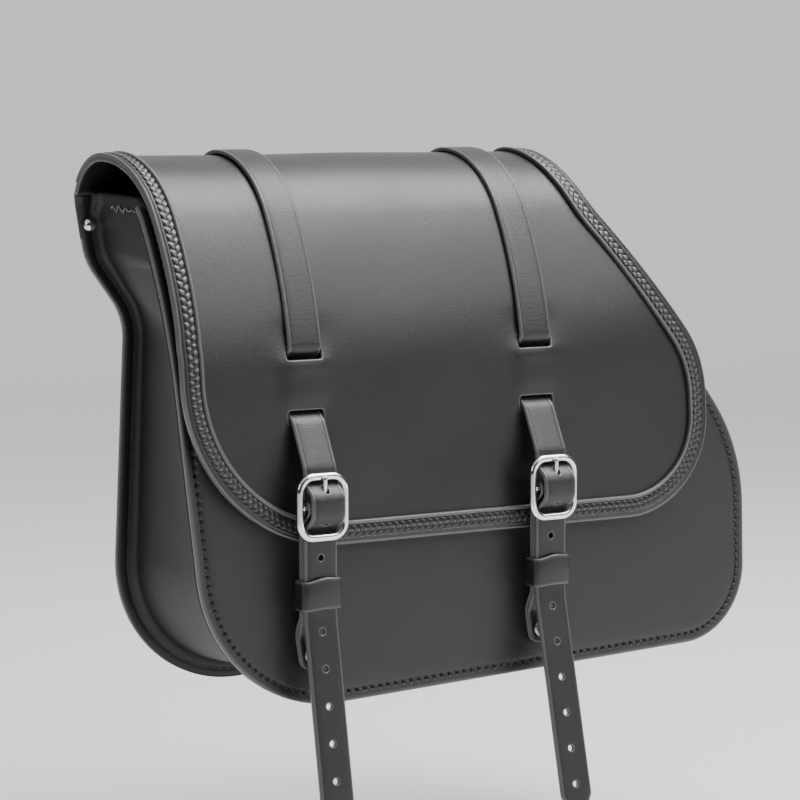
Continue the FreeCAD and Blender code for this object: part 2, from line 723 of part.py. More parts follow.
def build_body():
    for label, shape in zip(("gusset", "gusset_back_flange", "gusset_front_flange"), gusset_parts()):
        node(label, shape)
    node("front_panel", make_front_panel())
    node("back_panel", make_back_panel())
    node("back_stiffener", make_stiffener())
    node("mount_eyelets", make_eyelets())


def make_stiffener():
    """The plate inside the back that spreads the load of the mounting bolts."""
    x, z = size("mount_x"), size("mount_z")
    half_x, half_z = size("plate_length") / 2, size("plate_height") / 2
    r = size("plate_corner")
    corners = [(x - half_x, z + half_z, r), (x - half_x, z - half_z, r), (x + half_x, z - half_z, r)]
    corners.append((x + half_x, z + half_z, r))
    near = -WALL - size("panel_thick")
    plate = prism(corners, near - size("plate_thick"), near)
    for bx, bz in bolt_centres():
        plate = plate.cut(Part.makeCylinder(size("eyelet_barrel_r"), 20, Vector(bx, -15, bz), Vector(0, 1, 0)))
    return plate


def make_eyelets():
    """Four two-flanged eyelets through the back panel and its plate."""
    bore, barrel, flange = size("eyelet_bore_r"), size("eyelet_barrel_r"), size("eyelet_flange_r")
    lip = size("eyelet_flange")
    grip = size("panel_thick") + size("plate_thick")
    profile = [(bore, 0), (flange, 0), (flange, -lip), (barrel, -lip), (barrel, -lip - grip)]
    profile += [(flange, -lip - grip), (flange, -2 * lip - grip), (bore, -2 * lip - grip)]
    return Part.makeCompound([turned(profile, (x, 0, z), (0, 1, 0)) for x, z in bolt_centres()])


def build_fasteners():
    """Rivets at the gusset's top corners and at the straps' roots, and the press studs' posts."""
    grip = size("panel_thick") + size("gusset_thick")
    corner = make_rivet_body("corner_rivet", size("rivet_head_r"), size("rivet_dome"), grip, 4.6)
    head_y = -WALL - grip
    node("corner_rivets", copies(corner, [((x, head_y, z), (0, -1, 0)) for x, z in corner_rivet_centres()]))
    grip = size("lid_thick") + size("strap_thick") + size("strap_gap")
    anchor = make_rivet_body("strap_rivet", 4.0, 1.6, grip, 4.0)
    centre = (-WALL - 37.5, size("lid_apex") - 37.5)
    reach = 37.5 + size("strap_thick") + size("strap_gap")
    places = []
    for x in strap_centres():
        for angle in (24.0, 46.0):
            out = (0, math.cos(math.radians(angle)), math.sin(math.radians(angle)))
            places.append(((x, centre[0] + reach * out[1], centre[1] + reach * out[2]), out))
    rivets = copies(anchor, places)
    node("strap_rivets", rivets)
    for label in ("corner_rivet", "strap_rivet"):
        del NODES[label]
    return rivets


def stud_posts():
    """The press studs' posts, riveted through the front panel."""
    posts = []
    face = in_lid(FRONT_OUTER, size("stud_z"))
    r = size("stud_post_r")
    for x in strap_centres():
        profile = [(0, 2.7), (1.5, 2.7), (r, 2.2), (r, -4.3), (5.0, -4.3), (5.0, -5.3), (0, -5.3)]
        posts.append(turned(profile, (x, face, size("stud_z")), stud_axis()))
    return Part.makeCompound(posts)


def stud_socket(x):
    """The stud's cap and socket ring on the buckle strap's foot, open towards the post."""
    foot = in_lid(FRONT_OUTER, size("stud_z")) - 0.3
    thick = 2 * size("chape_thick") + 0.7
    r = size("stud_socket_r")
    cap = size("stud_cap_r")
    profile = [(0, thick + 1.3), (cap - 1.2, thick + 1.3), (cap, thick + 0.3), (cap, thick + 0.1)]
    profile += [(r + 0.75, thick + 0.1), (r + 0.75, 0.3), (r, 0.3), (r, thick - 0.6), (0, thick - 0.6)]
    return turned(profile, (x, foot, size("stud_z")), stud_axis())


def build_lid(rivets):
    lid = make_lid_panel()
    straps = [make_upper_strap(x) for x in strap_centres()]
    node("lid_panel", lid.cut(rivets))
    node("lid_border", make_border())
    node("lid_lacing", make_lacing())
    for side, strap in zip(("left", "right"), straps):
        node(f"{side}_strap_upper", strap.cut(rivets))


def build_strap_end(side, x, lean):
    node(f"{side}_billet", make_billet(x))
    node(f"{side}_buckle_strap", make_chape(x))
    node(f"{side}_stud_socket", stud_socket(x))
    make_buckle(f"{side}_buckle", x)
    node(f"{side}_prong", make_prong(x))
    node(f"{side}_keeper", make_keeper(x))
    node(f"{side}_strap_tail", make_tail(x, lean))


build_body()
rivet_shapes = build_fasteners()
build_lid(rivet_shapes)
node("stud_posts", stud_posts())
for side_name, centre_x in zip(("left", "right"), strap_centres()):
    build_strap_end(side_name, centre_x, size(f"tail_{side_name}_lean"))
doc.recompute()

for thing in doc.Objects:
    if "Invalid" in thing.State or "Error" in thing.State:
        raise RuntimeError(f"{thing.Label} failed: {thing.State}")
for label, piece in NODES.items():
    shape = piece.Shape
    if shape.isNull() or not shape.isValid() or not shape.Solids:
        raise RuntimeError(f"{label} has no valid solid")

os.makedirs("parts", exist_ok=True)
for label, piece in NODES.items():
    piece.Shape.exportStep(f"parts/{label}.step")
    print(f"{label}: {len(piece.Shape.Solids)} solid(s), {piece.Shape.Volume / 1000:.1f} cm3")
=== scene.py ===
"""The saddlebag's looks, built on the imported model: leather, braided border, stitching, straps and buckles."""

import math

import bmesh
import bpy
import numpy as np
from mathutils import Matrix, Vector, geometry


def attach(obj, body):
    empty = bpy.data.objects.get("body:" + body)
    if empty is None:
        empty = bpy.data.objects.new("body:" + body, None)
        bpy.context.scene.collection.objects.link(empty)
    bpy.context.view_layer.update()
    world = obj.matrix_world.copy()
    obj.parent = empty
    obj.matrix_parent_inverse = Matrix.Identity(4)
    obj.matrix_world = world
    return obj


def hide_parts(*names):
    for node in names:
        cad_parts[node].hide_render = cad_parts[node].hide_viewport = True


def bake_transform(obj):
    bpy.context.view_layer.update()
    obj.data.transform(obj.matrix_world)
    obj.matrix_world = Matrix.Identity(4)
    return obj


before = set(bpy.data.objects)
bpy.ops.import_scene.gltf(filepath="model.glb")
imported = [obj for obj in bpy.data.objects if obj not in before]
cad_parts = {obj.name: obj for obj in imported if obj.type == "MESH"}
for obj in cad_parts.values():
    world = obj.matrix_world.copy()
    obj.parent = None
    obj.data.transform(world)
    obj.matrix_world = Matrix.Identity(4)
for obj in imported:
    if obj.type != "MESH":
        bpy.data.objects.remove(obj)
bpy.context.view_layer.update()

# Layout frame of the CAD, in millimetres: x along the bag, y to the bike, z up from the base line.
ORIGIN = np.array([20.0, 0.0, 200.0])


def row(x, y, z):
    """Points of the layout frame, in the row frame and in metres."""
    x, y, z = np.broadcast_arrays(x, y, z)
    return (np.stack([x, y, z], axis=-1) - ORIGIN) * 0.001


# ------------------------------------------------------------------ paths: corners (u, v, radius)


def turn(before, corner, after):
    a = math.atan2(corner[1] - before[1], corner[0] - before[0])
    b = math.atan2(after[1] - corner[1], after[0] - corner[0])
    return (b - a + math.pi) % (2 * math.pi) - math.pi


def shifted(corners, distance):
    """The corners of an open path moved to the left of the direction of travel."""
    moved = []
    for i, (u, v, r) in enumerate(corners):
        ends = [(corners[j], corners[j + 1]) for j in (i - 1, i) if 0 <= j < len(corners) - 1]
        normals = []
        for a, b in ends:
            length = math.dist(a[:2], b[:2])
            normals.append(((a[1] - b[1]) / length, (b[0] - a[0]) / length))
        nu, nv = (sum(n[k] for n in normals) for k in (0, 1))
        scale = len(normals) / (nu * nu + nv * nv)
        if len(ends) == 2 and r:
            r = max(r - distance * math.copysign(1, turn(ends[0][0], corners[i], ends[1][1])), 0.4)
        moved.append((u + nu * scale * distance, v + nv * scale * distance, r))
    return moved


def rounded(corners, pitch=2.5, per_arc=None, per_line=None):
    """Points along an open path. Fixed counts per arc and line make two outlines match point by point."""
    points = []
    cursor = np.array(corners[0][:2], float)
    for i in range(1, len(corners)):
        u, v, r = corners[i]
        corner = np.array([u, v], float)
        into = corner
        arc = []
        if r and i < len(corners) - 1:
            bend = turn(corners[i - 1], corners[i], corners[i + 1])
            reach = r * abs(math.tan(bend / 2))
            d1 = corner - np.array(corners[i - 1][:2])
            d1 /= np.hypot(*d1)
            into = corner - d1 * reach
            side = math.copysign(1, bend)
            centre = into + side * r * np.array([-d1[1], d1[0]])
            count = per_arc or max(4, int(abs(bend) * r / pitch), int(abs(bend) / math.radians(7)))
            start = into - centre
            for angle in np.linspace(0, bend, count + 1)[1:]:
                c, s = math.cos(angle), math.sin(angle)
                arc.append(centre + np.array([c * start[0] - s * start[1], s * start[0] + c * start[1]]))
        length = np.hypot(*(into - cursor))
        count = per_line or max(1, int(length / pitch))
        points += [cursor + (into - cursor) * t for t in np.linspace(0, 1, count, endpoint=False)]
        points.append(into)
        points += arc
        cursor = points.pop()
    points.append(cursor)
    return np.array(points)


class Path:
    """A line in a plane, read by its length in mm. Positive depth lies to the left of its run."""

    def __init__(self, points):
        keep = np.r_[True, np.hypot(*np.diff(points, axis=0).T) > 1e-6]
        self.p = np.asarray(points, float)[keep]
        self.s = np.r_[0, np.cumsum(np.hypot(*np.diff(self.p, axis=0).T))]
        self.length = self.s[-1]
        self.t = np.gradient(self.p, self.s, axis=0)

    def at(self, s, depth=0.0):
        s = np.asarray(s, float)
        u, v = (np.interp(s, self.s, self.p[:, k]) for k in (0, 1))
        tu, tv = (np.interp(s, self.s, self.t[:, k]) for k in (0, 1))
        over = s - np.clip(s, 0, self.length)
        size = np.hypot(tu, tv)
        tu, tv = tu / size, tv / size
        return u + tu * over - tv * depth, v + tv * over + tu * depth


def resampled(points, pitch, closed):
    """The same line with evenly spaced points."""
    points = np.asarray(points, float)
    if closed:
        points = np.vstack([points, points[:1]])
    path = Path(points)
    count = max(8, round(path.length / pitch))
    u, v = path.at(np.linspace(0, path.length, count + 1))
    return np.stack([u, v], 1)[: -1 if closed else None]


# ------------------------------------------------------------------ the bag's driving lines, as in the CAD

WALL = 0.8
PANEL_THICK = 4.0
GUSSET_THICK = 3.4
HINGE_Z = 336.0
LID_BOTTOM = 115.3
LID_LEFT = -184.4
LID_FACE = [
    (-WALL, HINGE_Z, 0),
    (-WALL, 376.0, 37.5),
    (-86.1, 376.0, 81.0),
    (-139.8, 283.0, 256.0),
    (-151.5, LID_BOTTOM, 0),
    (-163.0, -50.0, 0),
]
LID = Path(rounded(LID_FACE))
FRONT = Path(rounded(shifted(LID_FACE, 9.5)))
FLANGE = Path(rounded(shifted(LID_FACE, 15.2)))
FRONT_OUTLINE = [
    (-191.0, 352.0, 0),
    (-189.0, 300.0, 60.0),
    (-186.0, 255.0, 60.0),
    (-165.0, 2.8, 100.0),
    (277.0, 19.8, 57.0),
    (280.5, 158.7, 130.0),
    (143.5, 352.0, 0),
]
BACK_OUTLINE = [
    (-196.0, 352.0, 0),
    (-188.0, 302.0, 45.0),
    (-159.0, 262.0, 45.0),
    (-172.0, -4.0, 90.0),
    (277.0, 12.0, 57.0),
    (280.5, 158.7, 130.0),
    (143.5, 352.0, 0),
]
LID_OUTLINE = [
    (LID_LEFT - 20, 420.0, 0),
    (LID_LEFT - 20, 300.0, 0),
    (LID_LEFT, 270.0, 90.0),
    (LID_LEFT, LID_BOTTOM, 115.0),
    (240.0, LID_BOTTOM, 72.0),
    (240.0, 227.7, 90.0),
    (162.5, 337.0, 60.0),
    (149.0, 376.0, 40.0),
    (149.0, 420.0, 0),
]
STRAPS = {"left": -92.5, "right": 92.5}
LEANS = {"left": 10.5, "right": 14.0}
SLOTS = (245.4, 202.8)


def over_lid(x, s, depth):
    y, z = LID.at(s, depth)
    return row(x, y, z)


def over_front(x, s, depth):
    y, z = FRONT.at(s, depth)
    return row(x, y, z)


def on_front_side(path, z):
    """Length along a path at a height on its front side."""
    top = int(np.argmax(path.p[:, 1]))
    return np.interp(-np.asarray(z, float), -path.p[top:, 1], path.s[top:])


# ------------------------------------------------------------------ meshes


def add_mesh(name, vertices, faces, edge=None, smooth=True):
    mesh = bpy.data.meshes.new(name)
    mesh.from_pydata([tuple(v) for v in vertices], [], faces)
    mesh.validate()
    mesh.polygons.foreach_set("use_smooth", [smooth] * len(mesh.polygons))
    if edge is not None:
        mesh.attributes.new("edge", "FLOAT", "POINT").data.foreach_set("value", np.asarray(edge, np.float32))
    mesh.update()
    piece = bpy.data.objects.new(name, mesh)
    bpy.context.scene.collection.objects.link(piece)
    return piece


def grid_faces(rows, columns, wrap_rows=False, wrap_columns=False, first=0):
    """Quads between neighbouring rows and columns of a grid of vertices."""
    faces = []
    for i in range(rows if wrap_rows else rows - 1):
        for j in range(columns if wrap_columns else columns - 1):
            i2, j2 = (i + 1) % rows, (j + 1) % columns
            this, following = first + i * columns, first + i2 * columns
            faces.append((this + j, this + j2, following + j2, following + j))
    return faces


def tube_faces(rows, columns):
    """Faces of a tube with both ends closed."""
    ends = [tuple(range(columns))[::-1], tuple((rows - 1) * columns + k for k in range(columns))]
    return grid_faces(rows, columns, wrap_columns=True) + ends


def inside(points, loop):
    """Which points lie inside a closed loop."""
    x, y = points[:, 0:1], points[:, 1:2]
    a, b = loop, np.roll(loop, -1, axis=0)
    crosses = (a[:, 1] > y) != (b[:, 1] > y)
    with np.errstate(divide="ignore", invalid="ignore"):
        at = (b[:, 0] - a[:, 0]) * (y - a[:, 1]) / (b[:, 1] - a[:, 1]) + a[:, 0]
    return (crosses & (x < at)).sum(axis=1) % 2 == 1


def anticlockwise(loop):
    """The loop turned so that its inside lies to the left."""
    loop = np.asarray(loop, float)
    after = np.roll(loop, -1, axis=0)
    area = (loop[:, 0] * after[:, 1] - after[:, 0] * loop[:, 1]).sum()
    return loop if area > 0 else loop[::-1]


def unit(vectors):
    """Rows of two numbers, each scaled to length 1."""
    return vectors / np.hypot(*vectors.T)[:, None]


def unit_3d(vectors):
    return vectors / np.linalg.norm(vectors, axis=1)[:, None]


def loop_normals(loop):
    """Normals to the left of a closed loop, stretched at corners so that an offset keeps its distance."""
    before = unit(loop - np.roll(loop, 1, axis=0))
    after = unit(np.roll(loop, -1, axis=0) - loop)
    total = unit(before + after)
    stretch = 1 / np.clip((total * after).sum(axis=1), 0.5, 1)
    return np.stack([-total[:, 1], total[:, 0]], 1) * stretch[:, None]


def moved_in(loop, normals, distance):
    """A closed loop moved to its left. Points that would cross over at a corner gather at its new place."""
    points = loop + normals * distance
    if distance < 0.2:
        return points
    after = np.roll(loop, -1, axis=0)
    spacing = np.median(np.hypot(*(after - loop).T))
    reach = min(len(loop) // 2, int(5 * distance / spacing) + 3)
    nearest = np.full(len(loop), np.inf)
    for k in range(-reach, reach + 1):
        a, b = np.roll(loop, -k, axis=0), np.roll(after, -k, axis=0)
        run = b - a
        share = np.clip(((points - a) * run).sum(axis=1) / np.maximum((run**2).sum(axis=1), 1e-12), 0, 1)
        nearest = np.minimum(nearest, np.hypot(*(points - a - run * share[:, None]).T))
    good = np.nonzero(nearest > distance - 0.02)[0]
    index = np.arange(len(loop))
    circle_good = np.r_[good - len(loop), good, good + len(loop)]
    closest = np.abs(index[:, None] - circle_good[None, :]).argmin(axis=1)
    return points[circle_good[closest] % len(loop)]


INSIDE_OUTLINES = 1  # the kind of triangulation that mathutils returns
# Points on one straight line make flat triangles, so the triangulation sees them a little off it.
SWAY, SWAY_TURNS = 0.03, (1.7, 2.3)


def rim(radius):
    """Insets and depths of a rounded edge."""
    angles = np.linspace(0, math.pi / 2, 4)
    return radius * (1 - np.cos(angles)), radius * (1 - np.sin(angles))


def panel(name, outline, place, thick, rings=(), holes=(), step=4.0, edge=1.1, seam=None, lift=None, butt=None):
    """A sheet of leather with rounded edges: outline and holes in (x, s), laid on a surface by place(x, s, depth).

    rings are further insets for detail near the edge, and seam(length along the outline, inset) its extra
    depth there. lift(x, s) raises the whole sheet. butt(x, s) is true where its edge stays square.
    """
    outline = anticlockwise(outline)
    holes = [anticlockwise(hole) for hole in holes]
    square = np.where(butt(*outline.T), 0.12, 1.0) if butt else 1.0
    length = np.r_[0, np.cumsum(np.hypot(*np.diff(outline, axis=0).T))]
    normals = loop_normals(outline)
    insets, depths = rim(edge)
    insets = np.r_[insets, rings] if len(rings) else insets
    depths = np.r_[depths, np.zeros(len(rings))]
    flat, top, under, edge_wear_and_highlight = [], [], [], []
    for u, d in zip(insets, depths):
        flat.append(moved_in(outline, normals, u))
        extra = seam(length, u) if seam else 0.0
        top.append(d * square + extra + np.zeros(len(outline)))
        under.append(thick - d * square + np.zeros(len(outline)))
        # Edge weight, 1 at the cut edge: the lighter colour it gives is partly real wear, partly painted
        # highlight.
        edge_wear_and_highlight.append(np.full(len(outline), max(0.0, 1 - u / (edge + 1.4))))
    faces = grid_faces(len(insets), len(outline), wrap_columns=True)
    count = len(insets) * len(outline)
    loops = [(0, len(outline), count - len(outline))]  # first vertex, size, start of the last ring
    small = min(0.8, thick / 5.5)
    for hole in holes:
        out = -loop_normals(hole)
        hole_insets, hole_depths = rim(small)
        hole_insets, hole_depths = np.r_[hole_insets, small + 0.35], np.r_[hole_depths, 0.0]
        start = count
        for u, d in zip(hole_insets, hole_depths):
            flat.append(hole + out * u)
            top.append(np.full(len(hole), d))
            under.append(np.full(len(hole), thick - d))
            # Hole and slot rims at 0.9: a painted highlight along their lips, partly real wear.
            edge_wear_and_highlight.append(np.full(len(hole), 0.9 if u < small else 0.0))
        faces += [f[::-1] for f in grid_faces(len(hole_insets), len(hole), wrap_columns=True, first=start)]
        count += len(hole_insets) * len(hole)
        loops.append((start, len(hole), count - len(hole)))
    flat = np.vstack(flat)
    low, high = outline.min(0), outline.max(0)
    us = np.arange(low[0] + step / 2, high[0], step)
    vs = np.arange(low[1] + step / 2, high[1], step)
    seeds = np.stack(np.meshgrid(us, vs), -1).reshape(-1, 2)
    seeds = seeds[inside(seeds, moved_in(outline, normals, insets[-1] + step * 0.45))]
    for hole in holes:
        seeds = seeds[~inside(seeds, hole - loop_normals(hole) * (small + 0.35 + step * 0.4))]
    known = len(flat)
    flat = np.vstack([flat, seeds])
    inner = float(np.mean(seam(length, insets[-1]))) if seam else 0.0
    top = np.r_[np.hstack(top), np.full(len(seeds), inner)]
    under = np.r_[np.hstack(under), np.full(len(seeds), thick)]
    edge_wear_and_highlight = np.r_[np.hstack(edge_wear_and_highlight), np.zeros(len(seeds))]
    ids = [last + i for _, size, last in loops for i in range(size)] + list(range(known, len(flat)))
    edges_in = [(last + i, last + (i + 1) % size) for _, size, last in loops for i in range(size)]
    back = {g: i for i, g in enumerate(ids)}
    swayed = flat[ids] + SWAY * np.sin(flat[ids][:, ::-1] * SWAY_TURNS)
    result = geometry.delaunay_2d_cdt(
        [Vector(p) for p in swayed], [(back[a], back[b]) for a, b in edges_in], [], INSIDE_OUTLINES, 1e-6, True
    )
    if not all(result[3]):
        raise ValueError(f"{name}: its outline or a hole crosses itself")
    triangles = np.array([[result[3][k][0] for k in face] for face in result[2]])
    middles = swayed[triangles].mean(axis=1)
    kept = inside(middles, swayed[: len(outline)])
    start = len(outline)
    for hole in holes:
        kept &= ~inside(middles, swayed[start : start + len(hole)])
        start += len(hole)
    triangles = np.array(ids)[triangles[kept]]
    faces += [tuple(int(k) for k in face) for face in triangles]
    raise_by = lift(flat[:, 0], flat[:, 1]) if lift else 0.0
    upper = place(flat[:, 0], flat[:, 1], top - raise_by)
    lower = place(flat[:, 0], flat[:, 1], under - raise_by)
    total = len(flat)
    faces += [tuple(v + total for v in reversed(f)) for f in faces]
    for start, size, _ in loops:
        for i in range(size):
            j = (i + 1) % size
            quad = (start + i, start + total + i, start + total + j, start + j)
            faces.append(quad if start == 0 else quad[::-1])
    return outward(add_mesh(name, np.vstack([upper, lower]), faces, np.r_[edge_wear_and_highlight, edge_wear_and_highlight]))


def outward(piece):
    """Joins coincident points of a closed mesh and makes its faces look outwards."""
    mesh = bmesh.new()
    mesh.from_mesh(piece.data)
    bmesh.ops.remove_doubles(mesh, verts=mesh.verts, dist=2e-6)
    bmesh.ops.dissolve_degenerate(mesh, dist=1e-6, edges=mesh.edges)
    bmesh.ops.recalc_face_normals(mesh, faces=mesh.faces)
    mesh.to_mesh(piece.data)
    mesh.free()
    return piece


def frames_along(points, normals, closed=False):
    """Unit tangent, normal and side vectors at each point."""
    if closed:
        tangent = np.roll(points, -1, axis=0) - np.roll(points, 1, axis=0)
    else:
        tangent = np.gradient(points, axis=0)
    tangent = unit_3d(tangent)
    side = unit_3d(np.cross(tangent, normals))
    return tangent, np.cross(side, tangent), side


def sweep(name, points, normals, section, closed=False, edge=None, scale=None):
    """A closed section, (along the side, along the normal) in mm, carried along points in metres."""
    points = np.asarray(points)
    _, normal, side = frames_along(points, np.broadcast_to(normals, points.shape), closed)
    section = np.asarray(section, float) * 0.001
    size = np.ones(len(points)) if scale is None else scale
    vertices = (
        points[:, None, :]
        + side[:, None, :] * section[None, :, 0:1] * size[:, None, None]
        + normal[:, None, :] * section[None, :, 1:2] * size[:, None, None]
    )
    n, m = len(points), len(section)
    faces = grid_faces(n, m, wrap_rows=True, wrap_columns=True) if closed else tube_faces(n, m)
    edge_wear_and_highlight = None if edge is None else np.tile(edge, n)
    return outward(add_mesh(name, vertices.reshape(-1, 3), faces, edge_wear_and_highlight))


def ellipse(a, b, count=10):
    t = np.linspace(0, 2 * math.pi, count, endpoint=False)
    return np.stack([a * np.cos(t), b * np.sin(t)], 1)


def many(name, shape_vertices, shape_faces, centres, xs, ys, zs):
    """One mesh of copies of a small shape, each with its own axes. Sizes in metres."""
    v = np.asarray(shape_vertices)
    placed = (
        centres[:, None, :]
        + v[None, :, 0:1] * xs[:, None, :]
        + v[None, :, 1:2] * ys[:, None, :]
        + v[None, :, 2:3] * zs[:, None, :]
    )
    faces = [tuple(k + i * len(v) for k in f) for i in range(len(centres)) for f in shape_faces]
    return add_mesh(name, placed.reshape(-1, 3), faces)


def capsule(length, a, b, rings=5, around=8):
    """A thread's loop of one stitch: an arched bead along X, in metres."""
    vertices = []
    for i in range(rings):
        t = -1 + 2 * i / (rings - 1)
        size = math.sqrt(max(0.0, 1 - 0.93 * t * t))
        for k in range(around):
            angle = 2 * math.pi * k / around
            drop = -0.7 * b * t * t
            vertices.append((t * length / 2, a * size * math.cos(angle), b * size * math.sin(angle) + drop))
    return np.array(vertices) * 0.001, tube_faces(rings, around)


# ------------------------------------------------------------------ materials


def material(name):
    made = bpy.data.materials.new(name)
    made.use_nodes = True
    tree = made.node_tree
    tree.nodes.clear()
    out = tree.nodes.new("ShaderNodeOutputMaterial")
    shader = tree.nodes.new("ShaderNodeBsdfPrincipled")
    tree.links.new(shader.outputs[0], out.inputs[0])
    return made, tree, shader


def node(tree, kind, inputs=None, **settings):
    made = tree.nodes.new(kind)
    for key, value in settings.items():
        setattr(made, key, value)
    for key, value in (inputs or {}).items():
        if isinstance(value, bpy.types.NodeSocket):
            tree.links.new(value, made.inputs[key])
        else:
            made.inputs[key].default_value = value
    return made


def maths(tree, operation, a, b, clamp=False):
    return node(tree, "ShaderNodeMath", {0: a, 1: b}, operation=operation, use_clamp=clamp).outputs[0]


def ramp(tree, value, start, end, low, high, kind="LINEAR"):
    """A number that goes from low to high while value goes from start to end."""
    inputs = {"Value": value, "From Min": start, "From Max": end, "To Min": low, "To Max": high}
    return node(tree, "ShaderNodeMapRange", inputs, interpolation_type=kind).outputs[0]


def blended(tree, factor, low, high):
    """Linear mix of two numbers."""
    return ramp(tree, factor, 0.0, 1.0, low, high)


def noise(tree, where, scale, detail, roughness=0.5):
    inputs = {"Vector": where, "Scale": scale, "Detail": detail, "Roughness": roughness}
    return node(tree, "ShaderNodeTexNoise", inputs).outputs["Fac"]


def add_bump(tree, shader, height, strength, distance):
    made = node(tree, "ShaderNodeBump", {"Height": height, "Strength": strength, "Distance": distance})
    tree.links.new(made.outputs[0], shader.inputs["Normal"])


def leather(name, colour, rough=0.42, grain=0.35, creases=0.0, wear_and_highlight_gain=1.0, bump=1.0):
    """Finished black leather: fine pore grain, faint cloudy sheen, and smooth burnished cut edges, lighter in
    colour: partly real wear, partly a painted highlight.
    """
    made, tree, shader = material(name)
    where = node(tree, "ShaderNodeTexCoord").outputs["Object"]
    pores = node(tree, "ShaderNodeTexVoronoi", {"Vector": where, "Scale": 1150.0}, feature="DISTANCE_TO_EDGE")
    warp = noise(tree, where, 520.0, 4.0, 0.6)
    cloud = noise(tree, where, 14.0, 5.0, 0.62)
    scuff = noise(tree, where, 95.0, 6.0, 0.7)
    edge = node(tree, "ShaderNodeAttribute", attribute_name="edge").outputs["Fac"]
    # Edge weight: lowers roughness and blends in a lighter colour, partly real edge wear and partly painted
    # highlight.
    edge_wear_and_highlight = maths(tree, "MULTIPLY", edge, wear_and_highlight_gain, clamp=True)
    tone = blended(tree, cloud, 0.82, 1.2)
    base = node(tree, "ShaderNodeMix", data_type="RGBA")
    tree.links.new(edge_wear_and_highlight, base.inputs[0])
    base.inputs[6].default_value = (*colour, 1)
    # The lighter edge colour: a painted highlight standing in for the shine of the burnished edges, partly real
    # wear.
    base.inputs[7].default_value = (*[c * 2.2 + 0.08 for c in colour], 1)
    toned = node(tree, "ShaderNodeVectorMath", {0: base.outputs[2]}, operation="SCALE")
    tree.links.new(tone, toned.inputs["Scale"])
    tree.links.new(toned.outputs[0], shader.inputs["Base Color"])
    dull = maths(tree, "ADD", blended(tree, cloud, rough - 0.07, rough + 0.09),
                 blended(tree, scuff, -0.05, 0.05))
    dull = maths(tree, "SUBTRACT", dull, maths(tree, "MULTIPLY", edge_wear_and_highlight, 0.17))
    tree.links.new(dull, shader.inputs["Roughness"])
    height = maths(tree, "ADD", maths(tree, "MULTIPLY", pores.outputs["Distance"], grain),
                   maths(tree, "MULTIPLY", warp, 0.8))
    height = maths(tree, "ADD", height, maths(tree, "MULTIPLY", scuff, 0.5))
    if creases:
        folds = node(tree, "ShaderNodeMapping", {"Vector": where, "Scale": (60.0, 60.0, 900.0)})
        lines = noise(tree, folds.outputs[0], 1.0, 3.0)
        height = maths(tree, "ADD", height, maths(tree, "MULTIPLY", lines, creases))
    add_bump(tree, shader, height, 0.5 * bump, 0.0004)
    shader.inputs["Specular IOR Level"].default_value = 0.5
    shader.inputs["Coat Weight"].default_value = 0.06
    shader.inputs["Coat Roughness"].default_value = 0.3
    return made


def metal(name, colour, rough):
    """Plated metal with faint cloudiness and hairline scratches."""
    made, tree, shader = material(name)
    where = node(tree, "ShaderNodeTexCoord").outputs["Object"]
    cloud = noise(tree, where, 120.0, 4.0)
    hair = node(tree, "ShaderNodeMapping", {"Vector": where, "Scale": (2500.0, 500.0, 150.0)})
    lines = noise(tree, hair.outputs[0], 1.0, 2.0)
    tree.links.new(blended(tree, cloud, rough * 0.6, rough * 1.5), shader.inputs["Roughness"])
    add_bump(tree, shader, lines, 0.05, 0.0002)
    shader.inputs["Base Color"].default_value = (*colour, 1)
    shader.inputs["Metallic"].default_value = 1.0
    return made


def threads(name, colour):
    """Waxed sewing thread with a fine twist."""
    made, tree, shader = material(name)
    where = node(tree, "ShaderNodeTexCoord").outputs["Object"]
    twist = noise(tree, where, 2200.0, 2.0)
    add_bump(tree, shader, twist, 0.4, 0.0002)
    tree.links.new(blended(tree, twist, 0.38, 0.62), shader.inputs["Roughness"])
    shader.inputs["Base Color"].default_value = (*colour, 1)
    return made


BODY = leather("body_leather", (0.013, 0.0132, 0.014), rough=0.44)
LID_SKIN = leather("lid_leather", (0.0085, 0.0087, 0.0093), rough=0.36)
# The gusset's leather is the same hide as the body's, made darker here as painted shade.
GUSSET_SKIN_SHADE_DARKENED = leather("gusset_leather", (0.0065, 0.0067, 0.0073), rough=0.52)
STRAP_SKIN = leather("strap_leather", (0.0095, 0.0097, 0.0103), rough=0.38, creases=0.5)
BORDER_SKIN = leather("border_leather", (0.0095, 0.0097, 0.0103), rough=0.4, grain=0.6, bump=1.6)
LACE_SKIN = leather("lace_leather", (0.008, 0.0081, 0.0086), rough=0.27)
CHROME = metal("bright_chrome", (0.86, 0.86, 0.87), 0.09)
STEEL = metal("zinc_steel", (0.42, 0.43, 0.45), 0.34)
BRASS = metal("plated_brass", (0.72, 0.66, 0.52), 0.2)
THREAD = threads("sewing_thread", (0.02, 0.02, 0.021))
# Pale grey thread for the tack stitches: a painted highlight standing in for the shine on dark thread.
PALE_THREAD_PAINTED_HIGHLIGHT = threads("tack_thread", (0.2, 0.2, 0.2))


def dress(piece, skin, body=None):
    piece.data.materials.clear()
    piece.data.materials.append(skin)
    if body:
        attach(piece, body)
    return piece


# ------------------------------------------------------------------ lid


def clipped(points, level, above=False):
    """The part of an open outline whose second coordinate is below (or above) a level, with exact ends."""
    sign = -1.0 if above else 1.0
    points = np.asarray(points, float)
    inside_part = np.nonzero(sign * points[:, 1] < sign * level)[0]
    first, last = inside_part[0], inside_part[-1]
    ends = []
    for a, b in ((first, first - 1), (last, last + 1)):
        share = (level - points[a, 1]) / (points[b, 1] - points[a, 1])
        ends.append(points[a] + (points[b] - points[a]) * share)
    return np.vstack([ends[0], points[first : last + 1], ends[1]])


